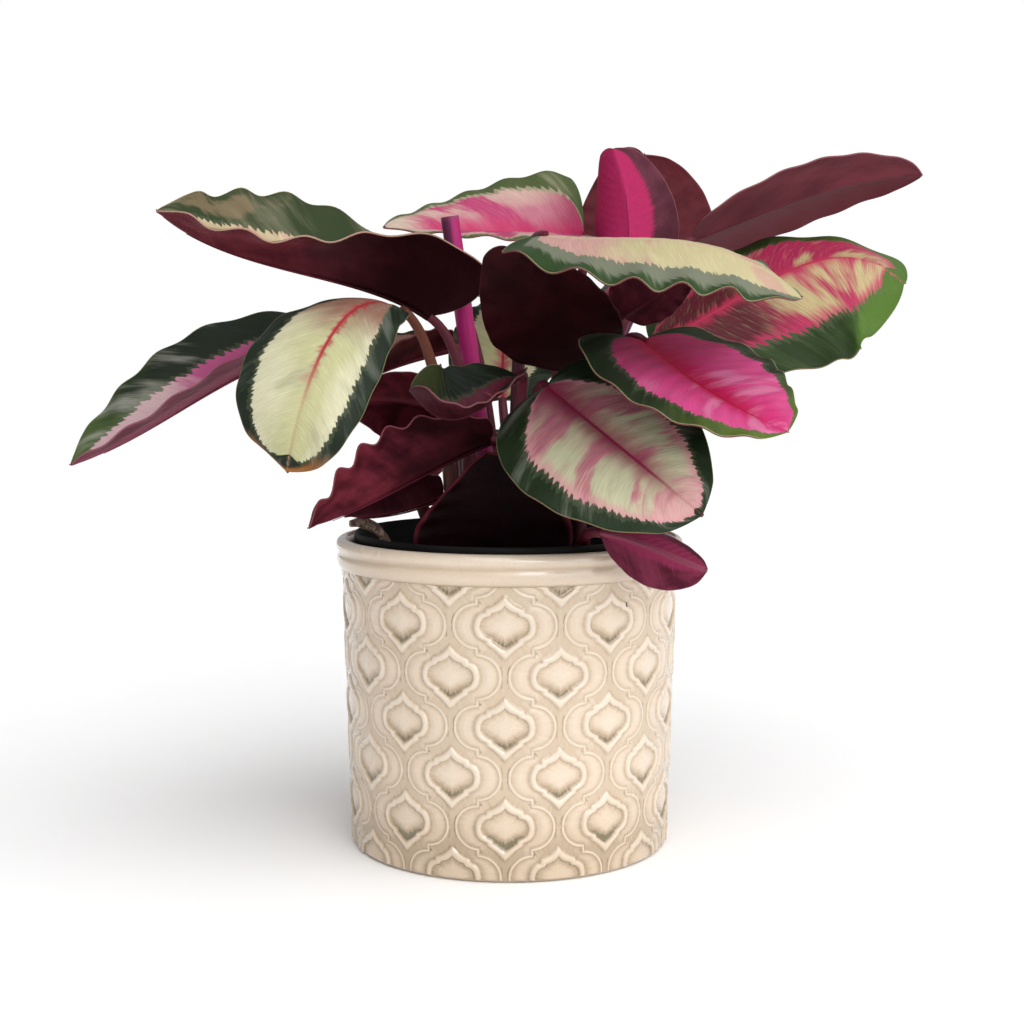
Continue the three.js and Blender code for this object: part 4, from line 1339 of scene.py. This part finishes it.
# %% The leaves
PLAIN_LEAF = dict(widest=0.42, full=0.6, lobe=0.08, fold=18, curl=-10, waves=5.5, ruffle=1.6, phase=0,
                  lean=[0, 0, 1], rise=0.45, neck=0.22, wide_left=1, wide_right=1, shoulder=0)
LEAVES = [
    dict(name="leaf_01_long_left",
         rib=[[-32, -8, 213], [-64, -22, 226], [-99, -40, 234.5], [-129, -58, 250]], face=[0, -0.1, 1],
         width=76, widest=0.34, full=0.55, root=[-17, -7], fold_left=[75, 32, 26],
         curl_left=[60, 12, 6], fold_right=[30, 55, 62], curl_right=[20, 50, 55],
         ruffle=[0.3, 1.4, 1.8], lobe_left=0.26),
    dict(name="leaf_02_drooping_left",
         rib=[[-41, -34, 215], [-60, -66, 211], [-72, -86, 184], [-79, -84, 157]], face=[0.1, -0.25, 1],
         face_tip=[-0.1, -1, 0.25], width=54, widest=0.54, full=0.5, root=[-22, -16], fold=0, curl=-30,
         ruffle=0.8, lobe=0.02, wide_left=0.84, wide_right=1.12),
    dict(name="leaf_03_far_left",
         rib=[[-73, 2, 203], [-108, -8, 190], [-139, -18, 171], [-171, -26, 155]], face=[0, -0.2, 1],
         width=56, root=[-24, 6], fold_left=[34, 30, 27], curl_left=[30, 27, 24], fold_right=[45, 55, 50],
         curl_right=[20, 30, 30], ruffle=0.8, neck=0.05, lean=[-0.25, 0, 1]),
    dict(name="leaf_04_high_back_left",
         rib=[[32, 57, 249], [5, 47, 250], [-25, 34, 250], [-52, 20, 250]], face=[0, -0.15, 1],
         width=64, widest=0.22, full=0.7, root=[8, 16], fold_left=[10, 5, 5], fold_right=[80, 55, 40],
         curl_right=[50, 20, 10], ruffle=0.8, lobe=0.03, neck=0.06),
    dict(name="leaf_05_wavy_front",
         rib=[[13, -76, 240], [42, -92, 238], [70, -101, 234], [99, -104, 217]], face=[0, -0.1, 1],
         width=66, full=0.5, root=[2, -8], fold_left=[5, 0, 10], curl_left=[-20, -20, 0],
         fold_right=[-8, -24, -22], curl_right=[-10, -26, -26], waves=6, ruffle=2, phase=0.2, lobe=0.22,
         lean=[0, 0.05, 1], neck=0.04, rise=0.95),
    dict(name="leaf_06_dark_centre",
         rib=[[34, -36, 202], [21, -50, 213], [11, -61, 224], [1, -68, 236]], face=[0.2, 0.85, 0.5],
         width=58, wide_left=0.7, root=[10, -12], fold=-8, curl=-15, ruffle=0.5, shoulder_right=0.14),
    dict(name="leaf_07_small_dark",
         rib=[[44, -13, 213], [52, -19, 218], [61, -24, 224], [70, -29, 229]], face=[0, 0.8, 0.6],
         width=32, root=[19, -5], ruffle=0.4, lobe=0, wide_left=0.78),
    dict(name="leaf_08_rolled_top", rib=[[50, 28, 237], [50, 30, 252], [48, 30, 267], [43, 28, 283]],
         face=[0, 1, 0], width=46, widest=0.35, root=[14, 8], fold_left=10, curl_left=30,
         fold_right=20, curl_right=88, ruffle=0.3, lean=[0.15, 0.1, 1], full=0.5, shoulder_right=0.06),
    dict(name="leaf_09_dark_top", rib=[[59, 57, 233], [61, 62, 250], [61, 66, 268], [59, 66, 285]],
         face=[0, 1, 0.1], width=58, root=[17, 17], ruffle=0.4, wide_right=1.1, shoulder_right=0.14),
    dict(name="leaf_10_far_right", rib=[[77, 28, 246], [110, 38, 259], [143, 44, 270], [176, 46, 274]],
         face=[-0.1, 0.45, 0.9], width=58, widest=0.38, root=[28, 8], ruffle=0.4, fold_left=13,
         fold_right=9, curl_right=-4, wide_right=0.93),
    dict(name="leaf_11_broad_right",
         rib=[[56, -14, 203], [90, -6, 220], [125, -2, 236], [157, -6, 226]], face=[0, -0.4, 1],
         width=84, widest=0.6, full=0.4, root=[26, -2], fold_right=[-30, -36, -36],
         curl_right=[-30, -40, -40], fold_left=[5, 0, -10], curl_left=[0, -5, -15], ruffle=0.8, lobe=0,
         wide_right=1.07, shoulder_right=0.14),
    dict(name="leaf_12_front_right",
         rib=[[49, -60, 203], [63, -88, 190], [78, -104, 180], [93, -114, 172]], face=[0.1, -0.42, 0.9],
         width=68, widest=0.38, full=0.5, root=[26, -18], ruffle=0.8, lobe=0.2, neck=0.3),
    dict(name="leaf_13_front_middle",
         rib=[[14, -46, 186], [31, -76, 172], [47, -99, 159], [65, -112, 144]], face=[0, -0.9, 0.45],
         width=76, full=0.55, root=[14, -26], ruffle=0.6, wide_left=0.78, lobe=0.12, lobe_right=0),
    dict(name="leaf_14_small_front",
         rib=[[3, -50, 190], [-8, -60, 181], [-21, -66, 175], [-36, -72, 185]], face=[0, -0.2, 1],
         width=44, widest=0.62, full=0.32, root=[0, -20], fold_left=[40, 26, 20], curl_left=[34, 26, 24],
         fold_right=[30, 55, 60], curl_right=[20, 40, 40], ruffle=0.5, lobe=0, neck=0.12, rise=0.85,
         shoulder=0.12),
    dict(name="leaf_15_folded_low_left",
         rib=[[-8, -22, 164], [-30, -38, 154], [-52, -50, 143], [-74, -62, 134]], face=[0, 0, 1],
         width=56, widest=0.5, root=[-10, -22], fold_left=[70, 80, 70], curl_left=[50, 55, 40],
         fold_right=[70, 66, 45], curl_right=[50, 45, 25], wide_left=0.92, wide_right=0.55, waves=6.5,
         ruffle=[0.5, 1.8, 2.4]),
    dict(name="leaf_16_folded_by_rim",
         rib=[[-27, -8, 141], [-39, -16, 137], [-51, -24, 135], [-64, -30, 135]], face=[0, 0, 1],
         width=34, root=[-26, -10], fold_left=[80, 80, 60], curl_left=[50, 50, 40],
         fold_right=[75, 75, 60], ruffle=0.5),
    dict(name="leaf_17_dark_upright",
         rib=[[-2, -33, 119], [-3, -37, 133], [-5, -40, 147], [-9, -42, 161]], face=[0, 1, 0.15],
         width=54, widest=0.25, full=0.7, wide_right=1.3, root=[0, -32], fold_left=10, ruffle=0.6),
    dict(name="leaf_18_over_rim", rib=[[34, -68, 133], [47, -74, 130], [60, -78, 125], [71, -80, 121]],
         face=[0.3, 1, 0], width=30, widest=0.5, root=[30, -26], fold_left=5, curl_left=25,
         fold_right=60, curl_right=90, ruffle=0.3, lobe=0.02),
    dict(name="leaf_19_inner_left",
         rib=[[-26, 16, 201], [-38, 6, 197], [-50, -3, 192], [-63, -10, 185]], face=[0, -0.3, 1],
         width=34, root=[-15, 10], fold_left=60, curl_left=50, fold_right=[60, 60, 50], ruffle=0.5),
    dict(name="leaf_20_inner_low_left",
         rib=[[-28, 2, 177], [-39, -7, 179], [-51, -15, 180], [-63, -22, 176]], face=[0.1, 0.95, 0.2],
         width=34, root=[-18, 4], ruffle=0.4, wide_left=0.72),
    dict(name="leaf_21_back_left",
         rib=[[-23, 28, 222], [-37, 54, 230], [-56, 82, 236], [-74, 108, 232]], face=[0, 0, 1],
         width=56, root=[-4, 30]),
    dict(name="leaf_22_back_middle", rib=[[-3, 34, 179], [-3, 50, 194], [-2, 68, 210], [0, 88, 227]],
         face=[0, -0.7, 0.7], width=48, root=[4, 25]),
    dict(name="leaf_23_back_right",
         rib=[[40, 74, 221], [74, 98, 235], [106, 116, 237], [134, 128, 225]], face=[0, 0, 1], width=50,
         root=[26, 24]),
    dict(name="leaf_24_low_back_left",
         rib=[[-23, 30, 165], [-29, 56, 161], [-38, 86, 152], [-45, 108, 137]], face=[0, 0.3, 1],
         width=52, root=[-20, 16]),
    dict(name="leaf_25_low_back_right",
         rib=[[16, 66, 165], [37, 88, 159], [57, 107, 150], [73, 122, 136]], face=[0, 0.3, 1], width=50,
         root=[2, 34]),
    dict(name="leaf_26_back_inner", rib=[[26, 60, 188], [38, 78, 194], [50, 98, 194], [62, 116, 188]],
         face=[0, 0.2, 1], width=46, root=[12, 32]),
]

# %% [markdown]
# ## Every leaf's colours
# No two leaves are painted alike. Each entry says only how a leaf differs from the plain one: where its
# field is pink or cream, how far it reaches towards each margin, and how dark its underside is.

# %% The leaves' looks
HOT_PINK = (218, 54, 128)
DEEP_PINK = (196, 56, 112)
LIME = (206, 208, 152)
CREAM_LIME = (220, 218, 176)

LOOKS = {
    "leaf_01_long_left": dict(upper=dict(far=(226, 212, 172), near=(206, 186, 146), bands=0.05,
        reach=(0.3, 0.42), middle=0.55, margin=(50, 64, 32), streak_and_sheen=(142, 140, 112), streaks_and_sheen=0.55,
        patch=(150, 128, 98), patches=0.6, rim=(196, 184, 140), rib=(76, 92, 54), blush=12.0, tooth=0.05),
        under=dict(skin=(126, 52, 62), shade=(92, 32, 42), rim=(196, 160, 140), painted_shade=0.9), quilt=0.2,
        midrib=0.8),
    "leaf_02_drooping_left": dict(upper=dict(far=(226, 222, 188), near=(204, 202, 152), near_reach=0.4,
        band=(186, 182, 148), bands=0.3, base=(150, 104, 90), base_end=0.33, reach=(0.68, 0.74), half=0.45,
        rib=(176, 50, 62), rib_end=0.74, blush=2.6, margin=(30, 42, 28), streak_and_sheen=(140, 146, 132), streaks_and_sheen=0.5,
        scorch=0.16, tooth=0.05),
        under=dict(skin=(110, 46, 56)), stalk="brown", quilt=0.45),
    "leaf_03_far_left": dict(upper=dict(far=(196, 100, 146), near=(190, 84, 136), bands=0.1,
        tip=(214, 184, 186), tip_start=0.5, reach=(0.3, 0.42), middle=0.42, half=0.54, margin=(28, 38, 24),
        margin_tip=(78, 98, 50), streak_and_sheen=(156, 156, 144), streaks_and_sheen=0.8, blush=0.5),
        under=dict(skin=(140, 60, 84), shade=(104, 38, 58), flush=(152, 74, 98), rim=(160, 104, 118)),
        stalk="brown", midrib=0.8),
    "leaf_04_high_back_left": dict(upper=dict(far=(212, 178, 166), near=(200, 124, 142), near_reach=0.45,
        band=(192, 68, 116), bands=0.6, base=(168, 54, 92), base_end=0.14, reach=(0.84, 0.78), half=0.56,
        margin=(80, 94, 52), streak_and_sheen=(170, 166, 136), seam=(196, 182, 158), seams=0.6, rib=(206, 46, 104),
        blush=9.0, tip=(212, 196, 176), tip_start=0.8),
        under=dict(skin=(140, 80, 98)), midrib=0.8),
    "leaf_05_wavy_front": dict(upper=dict(far=(213, 204, 158), near=(210, 200, 152), band=(214, 166, 152),
        bands=0.35, base=(216, 166, 158), base_end=0.28, reach=(0.6, 0.6), half=0.58, margin=(46, 72, 32),
        streak_and_sheen=(96, 112, 76), streaks_and_sheen=0.4, seam=(134, 138, 118), seam_width=0.28, seams=0.85,
        rim=(204, 206, 160), rib=(222, 198, 160), blush=0.5),
        under=dict(skin=(72, 24, 36)), midrib=0.8),
    # Leaves 06 and 07 sit in shade in the plant's middle: their near-black maroon is painted shade.
    "leaf_06_dark_centre": dict(under=dict(skin=(58, 18, 22), shade=(40, 11, 15), vein=(62, 20, 26),
        veins=0.1, rim=(80, 38, 44), painted_shade=0.5), stalk="dark", quilt=0.06, midrib=0.6),
    "leaf_07_small_dark": dict(under=dict(skin=(80, 26, 38), shade=(52, 15, 23), vein=(92, 38, 50),
        veins=0.2), stalk="dark", quilt=0.06, midrib=0.8),
    "leaf_08_rolled_top": dict(under=dict(skin=(112, 58, 74), shade=(90, 46, 58), vein=(196, 66, 114),
        veins=0.2, rim=(172, 120, 132), flush=(198, 50, 106), flush_reach=(0.5, 1.05), flush_half=0.7),
        stalk="magenta", quilt=0.1, midrib=0.6),
    "leaf_09_dark_top": dict(under=dict(skin=(120, 54, 62), shade=(94, 38, 47), vein=(112, 50, 60),
        veins=0.1), stalk="purple", quilt=0.08, midrib=0.6),
    "leaf_10_far_right": dict(under=dict(skin=(130, 60, 70), shade=(104, 44, 55), vein=(118, 52, 64),
        veins=0.1, rim=(150, 96, 100), flush=(106, 46, 54), flush_reach=(1.3, -0.3), flush_half=0.9),
        quilt=0.08, midrib=0.3),
    # Leaf 11's dark maroon base is partly the maroon of its folded underside and partly painted shade.
    "leaf_11_broad_right": dict(upper=dict(far=(206, 190, 142), near=(202, 186, 136), near_reach=0.5,
        band=(186, 50, 92), bands=0.75, border=(194, 54, 96), base=(78, 20, 30), base_end=0.42,
        tip=(208, 180, 146), tip_start=0.9, reach=(0.74, 0.6), middle=0.42, half=0.5, margin=(38, 58, 24),
        margin_tip=(82, 118, 38), streak_and_sheen=(106, 130, 72), streaks_and_sheen=0.35, rib=(186, 46, 82), blush=5.0),
        quilt=0.5),
    "leaf_12_front_right": dict(upper=dict(far=(222, 74, 140), near=(220, 40, 120), near_reach=0.4,
        band=(228, 132, 172), bands=0.35, base=(180, 34, 92), base_end=0.24, reach=(0.82, 0.76),
        middle=0.43, half=0.57, margin=(38, 50, 30), margin_tip=(92, 114, 38), streak_and_sheen=(104, 112, 92),
        streaks_and_sheen=0.5, rib=(190, 14, 62), blush=10.0, tooth=0.045, rim=(206, 200, 150)),
        under=dict(skin=(110, 44, 66)), quilt=0.5),
    "leaf_13_front_middle": dict(upper=dict(far=(210, 212, 174), near=(212, 198, 168), near_reach=0.3,
        band=(198, 110, 132), bands=0.5, border=(226, 160, 166), base=(186, 96, 122), base_end=0.16,
        tip=(234, 182, 178), tip_start=0.84, reach=(0.66, 0.76), half=0.5, margin=(34, 50, 28),
        streak_and_sheen=(134, 140, 124), streaks_and_sheen=0.7, rib=(150, 38, 76), blush=9.0, tooth=0.06), quilt=0.5),
    "leaf_14_small_front": dict(upper=dict(far=(104, 38, 56), near=(86, 26, 42), bands=0.1,
        reach=(0.36, 0.3), middle=0.5, margin=(22, 30, 20), margin_tip=(52, 58, 28), streak_and_sheen=(40, 50, 34),
        streaks_and_sheen=0.5, rim=(130, 120, 76), rib=(100, 24, 42), blush=3.0),
        under=dict(skin=(88, 34, 46),
        shade=(56, 18, 27), rim=(136, 90, 94)), midrib=0.8),
    "leaf_15_folded_low_left": dict(under=dict(skin=(126, 46, 60), shade=(66, 19, 28), vein=(104, 38, 52),
        rim=(150, 84, 92), painted_shade=0.8), quilt=0.5, midrib=0.7),
    "leaf_16_folded_by_rim": dict(under=dict(skin=(74, 30, 40), shade=(50, 18, 26), rim=(120, 100, 100)),
        midrib=0.6),
    # Leaf 17 stands in deep shade: its near-black maroon is painted shade, and its wide lighter margin is
    # painted light where the edge is lit.
    "leaf_17_dark_upright": dict(under=dict(skin=(30, 10, 14), shade=(18, 6, 8), vein=(30, 10, 14),
        veins=0.1, rim=(112, 40, 54), rim_width=2.5), stalk="dark", quilt=0.06, midrib=0.5),
    "leaf_18_over_rim": dict(under=dict(skin=(134, 54, 80), shade=(92, 32, 50), vein=(156, 80, 102),
        veins=0.9, rim=(184, 130, 140), flush=(158, 54, 92), flush_reach=(0.3, 0.6)), quilt=0.4,
        midrib=0.8),
    "leaf_19_inner_left": dict(upper=dict(far=(206, 160, 144), near=(196, 130, 120), reach=(0.8, 0.8)),
        under=dict(skin=(104, 44, 46), shade=(64, 22, 26)), stalk="brown"),
    "leaf_20_inner_low_left": dict(under=dict(skin=(96, 32, 42), shade=(58, 16, 24)), quilt=0.1),
    "leaf_21_back_left": dict(upper=dict(bands=0.7)),
    "leaf_22_back_middle": dict(upper=dict(far=CREAM_LIME, near=LIME, bands=0.2)),
    "leaf_23_back_right": dict(upper=dict(far=(222, 120, 160), near=HOT_PINK, bands=0.5)),
    "leaf_24_low_back_left": dict(upper=dict(far=CREAM_LIME, near=LIME, bands=0.3)),
    "leaf_25_low_back_right": dict(upper=dict(near=DEEP_PINK, bands=0.5)),
    "leaf_26_back_inner": dict(upper=dict(far=LIME, bands=0.4)),
}

# %% [markdown]
# ## Growing the leaves
# The numbers of a leaf become the named inputs of the tree, in metres and radians. A value that holds for
# the whole leaf is given three times, for base, middle and tip.


# %% Grow every leaf
DEGREE = math.pi / 180


def three(value, factor=1.0):
    """The value at the base, the middle and the tip."""
    values = value if isinstance(value, list) else [value] * 3
    return tuple(float(v) * factor for v in values)


def painted(plain, look, seed):
    """A look with the plain values filled in and its colours turned to paint."""
    look = {**plain, "seed": seed, **look}
    return {key: tint(*value) if isinstance(value, tuple) and len(value) == 3 else value
            for key, value in look.items()}


def side_sizes(leaf, side):
    """What one half of the blade has of its own."""
    own = {name: leaf.get(f"{name}_{side}", leaf.get(name))
           for name in ("wide", "lobe", "shoulder", "fold", "curl")}
    return {f"{name.capitalize()} {side}": three(value, DEGREE) if name in ("fold", "curl") else float(value)
            for name, value in own.items()}


def grow(leaf, look, number):
    leaf = {**PLAIN_LEAF, **leaf}
    name = leaf["name"]
    face = painted(PLAIN_FACE, look.get("upper", {}), 11.0 * number)
    under = painted(PLAIN_UNDER, look.get("under", {}), 7.0 * number)
    sizes = {
        **leaf_sizes,
        **{f"Rib {k}": three(point, MM) for k, point in enumerate(leaf["rib"])},
        **side_sizes(leaf, "left"), **side_sizes(leaf, "right"),
        "Face": three(leaf["face"]), "Face at tip": three(leaf.get("face_tip", leaf["face"])),
        "Root": three([*leaf["root"], SOIL_TOP], MM), "Lean": three(leaf["lean"]),
        "Rise": float(leaf["rise"]), "Neck": float(leaf["neck"]), "Width": leaf["width"] * MM,
        "Swell": math.log(0.5) / math.log(leaf["widest"]), "Fullness": float(leaf["full"]),
        "Waves": float(leaf["waves"]), "Phase": float(leaf["phase"]), "Ruffle": three(leaf["ruffle"], MM),
        "Midrib": look.get("midrib", 1.3) * MM, "Quilt": look.get("quilt", 0.3) * MM,
        "Upper side": finish(f"{name}_face", painted_face(face), shine=0.15, bump=0.00025),
        "Underside": finish(f"{name}_under", maroon_underside(under), shine=0.05),
        "Stalk": stalk_finish[look.get("stalk", "maroon")],
    }
    piece = made_by(grown_leaf, name + "_grown", bpy.data.meshes.new(name), sizes)
    hand_over(piece, SLOTS[name], name)


SLOTS = {part["node"]: part["material_slot"] for part in frame["record"]["subparts"]}
for number, leaf in enumerate(LEAVES):
    grow(leaf, LOOKS.get(leaf["name"], {}), number)

# %% [markdown]
# ## The cut stem
# One thick old stem was cut off above the leaves. It is a tapering fleshy tube that follows a curve, dusky
# on one side near its pale cut face. The withered stalk over the pot's lip is made by the same tree, only
# rougher.

# %% A stem along a path
stem_sizes = {"Points": 60, "Sides": 24, "Roughness": 0.1 * MM, "Grain": 300.0, "Finish": None}


def path_curve(name, points, radii):
    """A smooth curve through points, with a radius at each, for a tree to thicken."""
    curve = bpy.data.curves.new(name, "CURVE")
    curve.dimensions = "3D"
    spline = curve.splines.new("BEZIER")
    spline.bezier_points.add(len(points) - 1)
    for knot, point, radius in zip(spline.bezier_points, points, radii):
        knot.co = Vector(point) * MM
        knot.radius = radius
        knot.handle_left_type = knot.handle_right_type = "AUTO"
    return curve


def stem_tree():
    maker, size = new_tree("stem_along_path", stem_sizes)
    line = maker.shape("ResampleCurve", Curve=size["Geometry"], Count=size["Points"])
    line = store(maker, line, "climb", maker.shape("SplineParameter"))
    skin = tube(maker, line, maker.shape("InputRadius") * MM, size["Sides"])
    bumps = noise(maker, maker.shape("InputPosition") * (1.0, 1.0, 0.25), size["Grain"]) - 0.5
    lift = maker.shape("InputNormal") * (bumps * size["Roughness"] * 2)
    rough = maker.shape("SetPosition", Geometry=skin, Offset=lift)
    return end_tree(maker, smoothed(maker, rough), (size["Finish"], None))


stem_in_tree = stem_tree()
print("stem tree:", len(stem_in_tree.nodes), "nodes")

# %% The cut stem
CUT_STEM_RADIUS = 4.0
CUT_STEM_TAPER = 0.02
CUT_STEM_PATH = [(-3, 7, 96), (-3, 7, 104), (-8, 5.3, 140), (-14, 3.3, 182), (-19.5, 1.5, 222), (-24, 0, 253)]


def cut_stem_skin(maker):
    climb = mark(maker, "climb")
    place = object_place(maker)
    ribs = noise(maker, place * (800.0, 800.0, 50.0), 1.0)
    across = split(place)[0] + 0.12 * split(place)[2]
    dusky = ease(climb + 0.1 * (ribs - 0.5), 0.82, 0.92) * ease(across, 7.6 * MM, 5.6 * MM)
    colour = blend(maker, tint(128, 34, 80), (tint(186, 36, 116), ease(climb + 0.3 * (ribs - 0.5), 0.3, 0.7)),
                   (tint(112, 44, 84), dusky), (tint(146, 76, 108), ease(climb, 0.985, 1.0) * 0.7))
    return {"Base Color": colour, "Roughness": 0.4 + 0.15 * ribs, "Height": ribs}


radii = [CUT_STEM_RADIUS * (1 - CUT_STEM_TAPER * k) for k in range(len(CUT_STEM_PATH))]
curve = path_curve("cut_stem_path", CUT_STEM_PATH, radii)
stem_sizes["Finish"] = finish("stem_skin", cut_stem_skin, shine=0.25, bump=0.0003)
hand_over(made_by(stem_in_tree, "cut_stem_skin", curve, stem_sizes), "stem", "cut_stem")

# %% The withered stalk
DRY_STALK_PATH = [
    (-46, -6, 96), (-46, -6, 104), (-47, -6, 114), (-52, -7, 126), (-58, -9, 130.5), (-64, -12, 130.8),
]
DRY_STALK_RADII = [2, 2, 2.4, 1.9, 2.5, 1.4]


def withered(maker):
    fibres = noise(maker, object_place(maker), 900.0, 3.0)
    colour = blend(maker, tint(104, 78, 66), (tint(196, 170, 152), ease(fibres, 0.3, 0.7)))
    return {"Base Color": colour, "Height": fibres}


curve = path_curve("dry_stalk_path", DRY_STALK_PATH, DRY_STALK_RADII)
stem_sizes.update({"Points": 80, "Roughness": 0.8 * MM, "Grain": 500.0})
stem_sizes["Finish"] = finish("withered_skin", withered, roughness=0.85, shine=0.2, bump=0.0004)
hand_over(made_by(stem_in_tree, "dry_stalk_skin", curve, stem_sizes), "dry_stalk", "dry_stalk")
